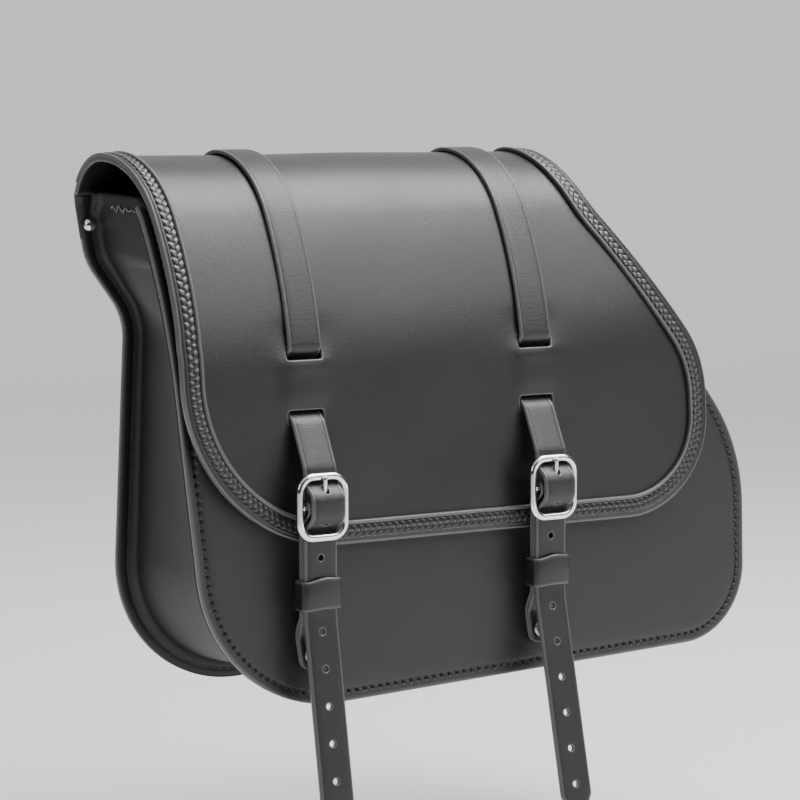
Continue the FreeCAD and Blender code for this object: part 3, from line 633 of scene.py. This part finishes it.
def loop_from(points, pitch, count=None):
    """A closed loop: an open outline and the straight line between its ends, each evenly divided."""
    path = Path(points)
    steps = count or max(8, round(path.length / pitch))
    u, v = path.at(np.linspace(0, path.length, steps + 1))
    gap = math.dist(points[0], points[-1])
    line = np.linspace(points[-1], points[0], max(2, round(gap / pitch)) + 1)[1:-1]
    return np.vstack([np.stack([u, v], 1), line])


LID_SPLAY = math.radians(4.6)  # how the left edge spreads towards the back


def lid_boundary():
    """The lid's edge in (x, s): from the back left corner down, across, up and over to the back right."""
    outline = rounded(LID_OUTLINE)
    bottom = int(np.argmin(outline[:, 1]))
    left, right = outline[: bottom + 1], outline[bottom:]
    apex = float(LID.s[int(np.argmax(LID.p[:, 1]))])
    low = on_front_side(LID, LID_BOTTOM)
    s = np.arange(0, on_front_side(LID, 262.0), 2.5)
    y = LID.at(s)[0]
    splay = math.tan(LID_SPLAY)
    start = LID.at(on_front_side(LID, 250.0))[0]
    down = np.stack([LID_LEFT - (y - start) * splay, s], 1)
    keep = left[left[:, 1] < 255.0]
    down = np.vstack([down, np.stack([keep[:, 0], np.minimum(on_front_side(LID, keep[:, 1]), low)], 1)])
    rest = right[right[:, 1] < 375.0]
    up = np.stack([rest[:, 0], np.minimum(on_front_side(LID, rest[:, 1]), low)], 1)
    s = np.r_[np.arange(apex - 4, 0, -2.5), 0.0]
    z = LID.at(s)[1]
    over = np.stack([np.interp(z, right[:, 1], right[:, 0]), s], 1)
    return np.vstack([down, up, over])


LID_EDGE = resampled(lid_boundary()[::-1], 2.0, closed=False)
LID_RIM = Path(LID_EDGE)


def window(u, v, half_u, half_v, corner, spacing, start=0.0):
    """A rounded rectangle as an evenly divided loop that begins on its left side."""
    loop = [(u - half_u, v + start, 0)]
    loop += [(u + a * half_u, v + b * half_v, corner) for a, b in ((-1, -1), (1, -1), (1, 1), (-1, 1))]
    return resampled(rounded(loop + loop[:1], pitch=1.0)[:-1], spacing, closed=True)


def slot_loop(x, z):
    return window(x, on_front_side(LID, z), 13.5, 4.5, 1.4, 1.6, start=0.5)


def lid_lift(x, s):
    """How the straps pull the leather round their slots, and a little natural waviness, in mm."""
    upper, lower = (float(on_front_side(LID, z)) for z in SLOTS)
    up = np.zeros_like(x)
    for centre in STRAPS.values():
        across = np.exp(-(((x - centre) / 17.0) ** 4))
        wide = np.exp(-(((x - centre) / 19.0) ** 2))
        up += 1.7 * across * np.exp(-(((s - (upper + lower) / 2 + 3) / 17.0) ** 4))
        up += 1.3 * wide * np.exp(-(((s - upper - 7) / 6.0) ** 2))
        up -= 1.2 * wide * np.exp(-(((s - upper + 14) / 10.0) ** 2))
        up -= 1.0 * wide * np.exp(-(((s - lower - 12) / 9.0) ** 2))
    up += 0.5 * np.sin(x / 43.0 + 1.3) * np.sin(s / 57.0 + 0.4) + 0.25 * np.sin(x / 23.0 + s / 31.0)
    end = float(on_front_side(LID, LID_BOTTOM))
    fade = np.clip((s - 20) / 60.0, 0, 1) * np.clip((end - s - 18) / 30.0, 0, 1)
    return up * fade


HINGE_TOP = 14.0  # length along the lid at which its panel takes over from the hinge strip


def make_lid():
    holes = [slot_loop(x, z) for x in STRAPS.values() for z in SLOTS]
    loop = loop_from(clipped(LID_EDGE, HINGE_TOP, above=True), 2.5)
    piece = panel("lid_leather", loop, over_lid, 4.0, rings=(2.2, 4.0), holes=holes, step=3.0, lift=lid_lift,
                  butt=lambda x, s: s < HINGE_TOP + 0.01)
    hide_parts("lid_panel")
    return dress(piece, LID_SKIN, "lid")


def border_points(t, inset, height):
    x, s = LID_RIM.at(t, inset)
    return over_lid(x, s, -height)


BORDER_END = 22.0  # how far the border stops short of the lid's back edge
LACE_PITCH = 16.5
BORDER_SECTION = [
    (0.1, -0.3), (-0.1, 0.4), (0.0, 1.2), (0.35, 1.8), (0.9, 2.1), (1.5, 2.0), (1.9, 1.55), (2.3, 1.55),
    (2.7, 1.95), (3.6, 2.1), (4.6, 1.95), (4.9, 1.3), (6.5, 1.1), (9.0, 1.0), (12.2, 1.1), (12.6, 1.6),
    (13.0, 2.5), (13.7, 3.1), (14.5, 3.3), (15.3, 3.1), (15.9, 2.4), (16.2, 1.2), (16.3, -0.3),
]


def make_border():
    ends = (BORDER_END, LID_RIM.length - BORDER_END)
    t = np.linspace(*ends, int((ends[1] - ends[0]) / 2.2))
    rows = [border_points(t, u, h) for u, h in BORDER_SECTION]
    vertices = np.stack(rows, axis=1)
    n, m = vertices.shape[:2]
    # Outer cut edge at 1.0 and raised bead at 0.9: a lighter colour painted on as the bead's highlight, partly
    # real wear of the cut edge.
    edge_wear_and_highlight = [1.0 if u < 1 else (0.9 if h > 3.0 else 0.1) for u, h in BORDER_SECTION]
    piece = outward(add_mesh("lid_border_trim", vertices.reshape(-1, 3), tube_faces(n, m), np.tile(edge_wear_and_highlight, n)))
    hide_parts("lid_border")
    dress(piece, BORDER_SKIN, "lid")
    length = ends[1] - ends[0] - 6
    repeats = round(length / LACE_PITCH)
    phase = np.linspace(0, 2 * math.pi * repeats, repeats * (24))
    along = ends[0] + 3 + phase / (2 * math.pi * repeats) * length
    for k in range(3):
        angle = phase + 2 * math.pi * k / 3
        inset = 8.6 + 2.3 * np.sin(angle)
        height = 1.6 + 0.5 * np.sin(2 * angle)
        points = border_points(along, inset, height)
        normals = border_points(along, inset, height + 1) - points
        strand = sweep(f"lace_{k}", points, normals, ellipse(2.25, 0.52, 10), edge=[0.15] * 10)
        dress(strand, LACE_SKIN, "lid")
    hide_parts("lid_lacing")


# ------------------------------------------------------------------ body


STITCH = 6.2
SEAM_RINGS = (2.2, 3.8, 4.7, 5.3, 5.9, 6.5, 7.1, 7.7, 8.3, 9.2, 11.0, 14.0, 18.0)
SEAM = 6.8


def seam_loop(points):
    """An outline with ten points for each stitch along its sewn part, and the number of stitches."""
    length = Path(points).length
    stitches = round(length / STITCH)
    return loop_from(points, length / (stitches * 10), stitches * 10), stitches


def stitch_seam(count, total):
    """Extra depth along a seam: a shallow groove, and a slanted awl slit at the end of each stitch."""
    turns = np.arange(total) / 10.0
    sewn = smooth_step(turns, 1.0, 2.0) * smooth_step(count - turns, 1.0, 2.0)

    def seam(length, u):
        groove = 0.45 * math.exp(-(((u - SEAM) / 1.5) ** 2)) - 0.9 * (1 - math.exp(-max(0.0, u - SEAM) / 5.0))
        away = ((turns + 0.5 - (u - SEAM) * 0.06) % 1 - 0.5) * STITCH
        slit = 1.9 * math.exp(-(((u - SEAM) / 1.3) ** 4)) * np.exp(-((away / 0.8) ** 2))
        return groove + slit * sewn

    return seam


FRONT_TOP = 344.0
BACK_TOP = 318.0


def make_front():
    outline = clipped(rounded(FRONT_OUTLINE), FRONT_TOP)
    loop, count = seam_loop(np.stack([outline[:, 0], on_front_side(FRONT, outline[:, 1])], 1)[::-1])
    piece = panel("front_leather", loop, over_front, PANEL_THICK, rings=SEAM_RINGS, step=5.0,
                  seam=stitch_seam(count, len(loop)))
    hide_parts("front_panel")
    dress(piece, BODY, "bag")
    sew("front_stitches", loop, count, over_front, 0.1, keep=lambda x, s: s > 90)


def sew(name, loop, count, place, sink, keep):
    """A row of stitches along an outline: threads that dip into their holes at both ends."""
    path = Path(loop[: count * 10 + 1])
    t = (np.arange(count) + 0.5) * path.length / count
    x, s = path.at(t, SEAM)
    kept = keep(x, s)
    t, x, s = t[kept], x[kept], s[kept]
    x1, s1 = path.at(t - 1.0, SEAM)
    x2, s2 = path.at(t + 1.0, SEAM)
    centres = place(x, s, sink)
    along = unit_3d(place(x2, s2, sink) - place(x1, s1, sink))
    up = unit_3d(place(x, s, sink - 1.0) - centres)
    side = np.cross(up, along)
    along = along + side * 0.12
    shape, faces = capsule(4.3, 0.6, 0.5)
    dress(many(name, shape, faces, centres, along, side, up), THREAD, "bag")


def matched(corners):
    return rounded(corners, per_arc=26, per_line=22)


def outline_normals(points):
    tangent = unit(np.gradient(points, axis=0))
    return np.stack([-tangent[:, 1], tangent[:, 0]], 1)


def smooth_step(value, low, high):
    t = np.clip((value - low) / (high - low), 0, 1)
    return t * t * (3 - 2 * t)


class Gusset:
    """The wall between the back's and the front's outline, with flanges turned outwards at both."""

    def __init__(self):
        self.back = matched(BACK_OUTLINE)
        self.front = matched(FRONT_OUTLINE)
        keep = (self.back[:, 1] < 349.5) & (self.front[:, 1] < 349.5)
        self.back, self.front = self.back[keep], self.front[keep]
        self.back_normal = outline_normals(self.back)
        self.front_normal = outline_normals(self.front)

    def place(self, u, share):
        """Points at inset u and share of the way from back to front, one row per outline point."""
        u = np.asarray(u, float)[..., None]
        share = np.asarray(share, float)[..., None]
        near = self.back[:, None] + self.back_normal[:, None] * u
        far = self.front[:, None] + self.front_normal[:, None] * u
        return near * (1 - share) + far * share


TACK_INSET = 12.6


def make_gusset():
    g = Gusset()
    n = len(g.back)
    z = (g.back[:, 1] + g.front[:, 1]) / 2
    y_back = -6.5 - 9.0 * smooth_step(z, 330.0, 345.0)
    s_front = on_front_side(FLANGE, z)
    y_front = FLANGE.at(s_front)[0]
    depth = y_back - y_front
    trim_back = 10.5 * smooth_step(z, 325.0, 333.0)
    trim_front = 10.5 * smooth_step(z, 334.0, 344.0)
    level = np.zeros_like(z)
    half = GUSSET_THICK / 2
    bend = 7.0
    base = 14.7
    runs = (0.0, 0.5, 1.5, 4.0, 5.3, 6.2, 7.1)
    arc = np.linspace(0, math.pi / 2, 6)
    walls = np.linspace(0, 1, 9)

    def flange_half(u, side):
        """Half the flange's thickness at an inset: a rounded rim, and a groove along the seam on one side."""
        seam = 0.5 * math.exp(-(((u - 6.2) / 0.9) ** 2)) if side > 0 else 0.0
        return half * (math.sqrt(max(0.0, 1 - (1 - min(u / 1.2, 1)) ** 2)) * 0.9 + 0.1) - seam

    rows = []
    for side in (1.0, -1.0):
        r = bend - side * half
        line = [(np.maximum(u, trim_back), side * flange_half(u, side) + level) for u in runs]
        line += [(base - bend + r * math.sin(a) + level, bend - r * math.cos(a) + level) for a in arc]
        line += [(base - side * half + level, bend + (depth - 2 * bend) * share) for share in walls[1:-1]]
        line += [(base - bend + r * math.sin(a) + level, depth - bend + r * math.cos(a)) for a in arc[::-1]]
        line += [(np.maximum(u, trim_front), depth - side * flange_half(u, side)) for u in runs[::-1]]
        rows.append(line if side > 0 else line[::-1])
    line = rows[0] + rows[1]
    u = np.stack([a for a, _ in line], 1)
    y = np.stack([b for _, b in line], 1)
    share = y / depth[:, None]
    xz = g.place(u, share)
    s = on_front_side(FLANGE, xz[..., 1])
    y_true = y_back[:, None] + share * (FLANGE.at(s)[0] - y_back[:, None])
    sag = 2.2 * np.sin(np.pi * np.clip(share, 0, 1)) ** 2 * smooth_step(340.0 - xz[..., 1], 0.0, 60.0)
    vertices = row(xz[..., 0], y_true, xz[..., 1])
    inward = (g.back_normal + g.front_normal) / 2
    vertices[..., 0] += inward[:, None, 0] * sag * 0.001
    vertices[..., 2] += inward[:, None, 1] * sag * 0.001
    m = u.shape[1]
    faces = grid_faces(n, m, wrap_columns=True)
    for a in (0, (n - 1) * m):
        faces += [(a + k, a + k + 1, a + m - 2 - k, a + m - 1 - k) for k in range(len(rows[0]) - 1)]
    # Cut edges at 1.0, partly real wear and partly painted highlight; the flange band up to its seam at 0.35 is
    # painted light.
    edge_wear_and_highlight = np.tile(np.where(u[0] < 2.2, 1.0, np.where(u[0] < 7.5, 0.35, 0.0)), n)
    piece = outward(add_mesh("gusset_leather", vertices.reshape(-1, 3), faces, edge_wear_and_highlight))
    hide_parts("gusset", "gusset_back_flange", "gusset_front_flange")
    # Darker gusset leather: painted shade.
    dress(piece, GUSSET_SKIN_SHADE_DARKENED, "bag")
    tack_stitches(g)


def tack_stitches(g):
    """A short zigzag of thread below the gusset's top edge, near the lid's hinge."""
    count = 13
    t = np.arange(count + 1)
    y = -30.0 - 62.0 * (t / count) ** 1.1
    z = 340.5 - 2.5 * t / count + (t % 2 - 0.5) * (1.5 + 5.0 * np.exp(-((t - 3.0) / 2.2) ** 2))
    share = -y / 130.0
    left = np.interp(-z, -g.back[:60, 1], g.back[:60, 0]) * (1 - share)
    left += np.interp(-z, -g.front[:60, 1], g.front[:60, 0]) * share
    points = row(left + TACK_INSET, y, z)
    middle, along = (points[1:] + points[:-1]) / 2, points[1:] - points[:-1]
    size = np.linalg.norm(along, axis=1)
    along /= size[:, None]
    up = np.tile([-1.0, 0.0, 0.0], (count, 1))
    shape, faces = capsule(1.0, 0.6, 0.55)
    shape[:, 0] *= 1000.0
    length = along * size[:, None] * 0.88
    piece = many("gusset_tack_stitches", shape, faces, middle, length, np.cross(up, along), up)
    # The tack stitches' pale thread is a painted highlight on dark thread.
    dress(piece, PALE_THREAD_PAINTED_HIGHLIGHT, "bag")


def make_back():
    loop, count = seam_loop(clipped(rounded(BACK_OUTLINE), BACK_TOP))

    def place(x, s, depth):
        return row(x, -WALL - depth, s)

    def inner(x, s, depth):
        return row(x, -WALL - PANEL_THICK - GUSSET_THICK + depth, s)

    holes = [circle(ORIGIN[0] + dx, ORIGIN[2] + dz, 5.7) for dx in (-90, 90) for dz in (-45, 45)]
    piece = panel("back_leather", loop, place, PANEL_THICK, rings=SEAM_RINGS, holes=holes, step=6.0,
                  seam=stitch_seam(count, len(loop)), butt=lambda x, z: z > BACK_TOP - 0.01)
    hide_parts("back_panel")
    dress(piece, BODY, "bag")
    sew("back_stitches", loop, count, place, 0.1, keep=lambda x, z: z < 306)
    sew("gusset_back_stitches", loop, count, inner, 0.2, keep=lambda x, z: z < 306)


def make_hinge():
    """The strip of the back's leather that bends when the lid opens."""
    count_x, low, high = 60, BACK_TOP, HINGE_Z + HINGE_TOP
    body = clipped(rounded(BACK_OUTLINE), BACK_TOP)
    low_ends = body[[0, -1], 0]
    lid = clipped(LID_EDGE, HINGE_TOP, above=True)
    high_ends = lid[[-1, 0], 0]
    steps = np.linspace(0, 1, 16)
    vertices = []
    for depth in (0.0, PANEL_THICK):
        for v in steps:
            z = low + (high - low) * v
            y, curved_z = LID.at(max(z - HINGE_Z, 0.0), depth)
            x = np.linspace(*(low_ends + (high_ends - low_ends) * v), count_x)
            vertices.append(row(x, y, curved_z if z > HINGE_Z else z))
    vertices = np.vstack(vertices)
    n = len(steps)
    faces = grid_faces(n, count_x) + [f[::-1] for f in grid_faces(n, count_x, first=n * count_x)]
    size = n * count_x
    rim_loop = [i * count_x for i in range(n)] + [(n - 1) * count_x + j for j in range(1, count_x)]
    rim_loop += [i * count_x + count_x - 1 for i in range(n - 2, -1, -1)] + list(range(count_x - 2, 0, -1))
    for a, b in zip(rim_loop, rim_loop[1:] + rim_loop[:1]):
        faces.append((a, b, b + size, a + size))
    piece = outward(add_mesh("hinge_leather", vertices, faces))
    dress(piece, BODY)
    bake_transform(piece)


# ------------------------------------------------------------------ straps

STRAP_Y = -163.2  # the hanging strap's middle
BEND_Z = 69.0  # where its end begins to lean outwards
END_TOP = 90.3
HOLE_PITCH = 25.0
BAR_Y, BAR_Z = -167.1, 144.5
UPPER = [
    (1.1, HINGE_Z, 0), (1.1, 377.9, 39.4), (-87.2, 377.9, 82.9), (-134.2, 296.5, 257.9), (-142.96, 248.6, 3.5),
    (-136.03, 242.2, 3.5), (-139.26, 206.0, 3.5), (-147.52, 199.6, 6.0),
]
BILLET = [
    (-163.1, 170.0, 8.0), (STRAP_Y, 161.0, 4.0), (-175.0, 152.6, 7.0), (-175.2, 137.6, 9.0),
    (STRAP_Y, 129.4, 6.0),
]


def circle(x, s, radius, stretch=1.0, count=24):
    angle = np.linspace(0, 2 * math.pi, count, endpoint=False)
    return np.stack([x + radius * np.cos(angle), s + radius * stretch * np.sin(angle)], 1)


def strap_panel(name, x, corners, holes=(), tip=0.0, thick=3.2, width=25.0, taper=0.0, step=3.0):
    """A strap whose centre line runs in the YZ plane, as a sheet with creased and burnished edges, their lighter
    colour partly real wear and partly a painted highlight.
    """
    path = Path(rounded(corners, pitch=1.5))

    def place(across, s, depth):
        y, z = path.at(s, depth - thick / 2)
        return row(x + across, y, z)

    half = width / 2
    length = path.length
    loop = [(-half, length / 2, 0)]
    if taper:
        far = length - taper
        loop += [(-half, taper, 30.0), (-7.6, 0, 7.0), (7.6, 0, 7.0), (half, taper, 30.0)]
        loop += [(half, far, 30.0), (7.6, length, 7.0), (-7.6, length, 7.0), (-half, far, 30.0)]
    else:
        loop += [(-half, 0, 0), (half, 0, 0)]
        if tip:
            loop += [(half, length - tip, 8.0), (width / 6, length, 3.0)]
            loop += [(-width / 6, length, 3.0), (-half, length - tip, 8.0)]
        else:
            loop += [(half, length, 0), (-half, length, 0)]
    loop += [(-half, length / 2, 0)]
    outline = rounded(loop, pitch=1.8)[:-1]

    def crease(along, u):
        return 0.22 * math.exp(-(((u - 2.4) / 0.35) ** 2)) + 0 * along

    return panel(name, outline, place, thick, rings=(1.6, 2.1, 2.4, 2.7, 3.3), holes=holes, step=step,
                 edge=min(1.1, thick * 0.4), seam=crease)


def s_at(path, z):
    """Length along a strap's path at a height, on its last pass."""
    i = np.nonzero(path.p[:, 1] > z)[0][-1]
    share = (path.p[i, 1] - z) / (path.p[i, 1] - path.p[i + 1, 1])
    return float(path.s[i] + share * (path.s[i + 1] - path.s[i]))


def make_straps(side, x):
    lean = math.radians(LEANS[side])
    upper = UPPER + [(-150.6, 194.0, 20.0)] + BILLET + [(STRAP_Y, 90.0, 0)]
    probe = Path(rounded(upper, pitch=1.5))
    holes = [circle(0, s_at(probe, 156.2) + 0.6, 2.2, 1.8), circle(0, s_at(probe, 134.2), 1.5),
             circle(0, s_at(probe, 110.0), 2.2)]
    piece = strap_panel(f"{side}_strap_over_lid", x, upper, holes=holes)
    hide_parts(f"{side}_strap_upper")
    dress(piece, STRAP_SKIN)
    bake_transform(piece)
    end = (STRAP_Y - math.sin(lean) * 158, BEND_Z - math.cos(lean) * 158, 0)
    holes = [circle(0, END_TOP - BEND_Z + 9.0 + HOLE_PITCH * i, 2.2) for i in range(6)]
    hanging = [(STRAP_Y, END_TOP, 0), (STRAP_Y, BEND_Z, 60.0), end]
    piece = strap_panel(f"{side}_strap_end", x, hanging, holes=holes, tip=16.0)
    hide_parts(f"{side}_strap_tail", f"{side}_billet")
    dress(piece, STRAP_SKIN)
    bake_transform(piece)


def make_buckle_strap(side, x):
    """Doubled leather round the buckle's centre bar, its two layers one long piece folded over the bar."""
    wrap = 3.45
    band = [(-150.5, 32.0, 0), (-149.8, 56.0, 10.0), (-158.75, 69.0, 10.0), (-158.75, 118.5, 0)]
    inner = shifted(band, -1.33)[:-1]
    outer = shifted(band, 1.33)[:-1]
    loop = [
        (-157.4, 134.5, 5.0), (BAR_Y + wrap, BAR_Z - 3, 5.0), (BAR_Y + wrap, BAR_Z + wrap, wrap - 0.05),
        (BAR_Y - wrap, BAR_Z + wrap, wrap - 0.05), (BAR_Y - wrap, BAR_Z - 2.8, 5.0), (-160.1, 132.0, 5.0),
    ]
    corners = inner + loop + outer[::-1]
    path = Path(rounded(corners, pitch=1.5))
    top = float(path.s[int(np.argmax(path.p[:, 1]))])
    slit = window(0.0, top, 3.2, 9.0, 3.0, 1.4)
    stud = 10.2
    holes = [slit, circle(0, stud, 4.6), circle(0, path.length - stud, 4.6)]
    piece = strap_panel(f"{side}_buckle_strap_fold", x, corners, holes=holes, thick=2.6, taper=34.0, step=2.6)
    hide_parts(f"{side}_buckle_strap")
    dress(piece, STRAP_SKIN, f"{side}_strap")


def make_buckle_frame(side, x):
    line = window(0.0, 0.0, 19.5 - 2.6, 22.5 - 2.1, 9.6, 1.2)
    points = row(x + line[:, 0], BAR_Y, BAR_Z + line[:, 1])
    t = np.linspace(0, 2 * math.pi, 16, endpoint=False)
    section = np.stack([2.6 * np.sign(np.cos(t)) * np.abs(np.cos(t)) ** 0.75,
                        2.05 * np.sign(np.sin(t)) * np.abs(np.sin(t)) ** 0.85], 1)
    piece = sweep(f"{side}_buckle_frame", points, np.array([0.0, -1.0, 0.0]), section, closed=True)
    dress(piece, CHROME, f"{side}_strap")
    bar = row(x + np.linspace(-17.2, 17.2, 12), BAR_Y, BAR_Z)
    rod = sweep(f"{side}_buckle_bar", bar, np.array([0.0, -1.0, 0.0]), ellipse(2.0, 2.0, 16))
    dress(rod, CHROME, f"{side}_strap")
    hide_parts(f"{side}_buckle")


def make_prong(side, x):
    t = np.linspace(0, 1, 24)
    y = -170.0 - 0.9 * t
    z = 145.2 + 20.6 * t
    points = row(x, y, z)
    scale = 1 - 0.18 * t
    scale[-3:] *= (0.97, 0.85, 0.45)
    pin = sweep(f"{side}_prong_pin", points, np.array([0.0, -1.0, 0.0]), ellipse(1.75, 1.45, 14), scale=scale)
    dress(pin, CHROME, f"{side}_prong")
    angle = np.linspace(0, 2 * math.pi, 28, endpoint=False)
    ring = row(x, BAR_Y + 2.9 * np.cos(angle), BAR_Z + 2.9 * np.sin(angle))
    outward_dir = np.stack([0 * angle, np.cos(angle), np.sin(angle)], 1)
    eye = sweep(f"{side}_prong_eye", ring, outward_dir, ellipse(2.3, 0.72, 12), closed=True)
    dress(eye, CHROME, f"{side}_prong")
    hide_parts(f"{side}_prong")


def make_keeper(side, x):
    """The loop that holds the strap's end down, with a slightly bellied face."""
    half_w, front, back, corner = 13.0 + 1.1, -165.2 - 1.1, -155.7 + 1.1, 2.6
    loop = [(0, back, 0), (-half_w, back, corner), (-half_w, front, corner), (half_w, front, corner),
            (half_w, back, corner), (0, back, 0)]
    line = resampled(rounded(loop, pitch=0.8)[:-1], 1.2, closed=True)
    path = Path(np.vstack([line, line[:1]]))
    tall = 21.0
    insets, depths = rim(0.9)
    heights = np.r_[insets, np.linspace(2.5, tall - 2.5, 10), tall - insets[::-1]]
    thin = np.r_[depths, np.zeros(10), depths[::-1]]
    vertices, edge = [], []
    t = path.s[:-1]
    for outwards in (1, -1):
        for k in range(len(heights))[::outwards]:
            u, v = path.at(t, -outwards * (1.1 - thin[k]))
            face = np.clip((-160 - v) / 5, 0, 1)
            belly = 0.9 * math.cos(math.pi * (heights[k] / tall - 0.5)) * face
            bow = 0.9 * np.clip(1 - (u / 12.5) ** 2, 0, 1) * face
            wave = (0.8 * np.sin(u / 6.5 + 0.5) + 0.5 * np.cos(u / 4.0)) * (0.4 + 0.6 * heights[k] / tall)
            vertices.append(row(x + u, v - belly - bow, 75.0 + heights[k] + wave))
            # Edge weight near the top and bottom edges: a lighter colour there, partly real wear, partly painted
            # highlight.
            edge.append(max(0.0, 1 - min(heights[k], tall - heights[k]) / 1.8))
    vertices = np.vstack(vertices)
    m = len(t)
    faces = grid_faces(2 * len(heights), m, wrap_rows=True, wrap_columns=True)
    piece = outward(add_mesh(f"{side}_keeper_loop", vertices, faces, np.repeat(edge, m)))
    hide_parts(f"{side}_keeper")
    dress(piece, STRAP_SKIN, f"{side}_keeper")


# ------------------------------------------------------------------ build

make_lid()
make_border()
make_front()
make_gusset()
make_back()
make_hinge()
for side_name, centre_x in STRAPS.items():
    make_straps(side_name, centre_x)
    make_buckle_strap(side_name, centre_x)
    make_buckle_frame(side_name, centre_x)
    make_prong(side_name, centre_x)
    make_keeper(side_name, centre_x)

KEPT = {
    "back_stiffener": STEEL, "mount_eyelets": BRASS, "corner_rivets": CHROME, "strap_rivets": CHROME,
    "stud_posts": STEEL, "left_stud_socket": STEEL, "right_stud_socket": STEEL,
}
for label, skin in KEPT.items():
    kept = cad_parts[label]
    kept.data.materials.clear()
    kept.data.materials.append(skin)

# ------------------------------------------------------------------ stage, lights and camera


def stage_material():
    made, tree, shader = material("pale_floor")
    where = node(tree, "ShaderNodeTexCoord").outputs["Object"]
    cloud = noise(tree, where, 3.0, 4.0)
    tree.links.new(blended(tree, cloud, 0.5, 0.6), shader.inputs["Roughness"])
    shader.inputs["Base Color"].default_value = (0.82, 0.82, 0.81, 1)
    reach = node(tree, "ShaderNodeVectorMath", {0: where}, operation="LENGTH").outputs["Value"]
    tree.links.new(ramp(tree, reach, 1.0, 4.5, 1.0, 0.0, "SMOOTHSTEP"), shader.inputs["Alpha"])
    return made


def make_stage():
    """A round pale floor, wide enough to meet the studio's horizon."""
    around, radius, floor = 96, 14.0, -0.335
    angle = np.linspace(0, 2 * math.pi, around, endpoint=False)
    vertices = [(radius * math.cos(a), radius * math.sin(a), floor) for a in angle]
    piece = add_mesh("floor", vertices, [tuple(range(around))], smooth=False)
    piece.data.materials.append(stage_material())


def add_light(name, place, target, size, power):
    data = bpy.data.lights.new(name, "AREA")
    data.shape = "RECTANGLE"
    data.size, data.size_y = size
    data.energy = power
    lamp = bpy.data.objects.new(name, data)
    lamp.location = place
    lamp.rotation_euler = (Vector(target) - Vector(place)).to_track_quat("-Z", "Y").to_euler()
    bpy.context.scene.collection.objects.link(lamp)


def make_lights():
    """A large soft light overhead, weaker ones in front and to the left, and a studio paler behind the bag."""
    middle = (0.02, -0.07, 0.0)
    add_light("overhead", (0.7, -0.4, 1.75), middle, (1.5, 1.3), 70)
    add_light("front_top", (0.85, -1.5, 1.0), middle, (1.4, 0.9), 17)
    add_light("front_low", (1.3, -1.7, -0.2), middle, (1.4, 0.22), 2.4)
    add_light("left_fill", (-2.0, -0.5, 0.8), middle, (0.8, 1.0), 8)
    world = bpy.data.worlds.new("studio")
    world.use_nodes = True
    tree = world.node_tree
    where = node(tree, "ShaderNodeTexCoord").outputs["Generated"]
    split = node(tree, "ShaderNodeSeparateXYZ", {0: where})
    behind = ramp(tree, split.outputs["Y"], -0.1, 0.8, 0.12, 0.8)
    above = ramp(tree, split.outputs["Z"], 0.35, 1.0, 0.0, 0.9)
    beside = ramp(tree, split.outputs["X"], -0.45, 0.25, 0.25, 1.0, "SMOOTHSTEP")
    low = maths(tree, "MULTIPLY", behind, beside)
    background = tree.nodes["Background"]
    tree.links.new(maths(tree, "ADD", low, above), background.inputs["Strength"])
    background.inputs["Color"].default_value = (1, 1, 1, 1)
    bpy.context.scene.world = world


def make_camera():
    azimuth, elevation = math.radians(31.0), math.radians(6.22)
    forward = Vector((math.sin(azimuth) * math.cos(elevation), math.cos(azimuth) * math.cos(elevation),
                      -math.sin(elevation)))
    data = bpy.data.cameras.new("camera")
    data.sensor_width = 36.0
    data.lens = 124.5
    data.clip_end = 50.0
    camera = bpy.data.objects.new("camera", data)
    camera.location = (-1.00597, -1.75381, 0.21456)
    camera.rotation_euler = forward.to_track_quat("-Z", "Y").to_euler()
    bpy.context.scene.collection.objects.link(camera)
    bpy.context.scene.camera = camera


make_stage()
make_lights()
make_camera()
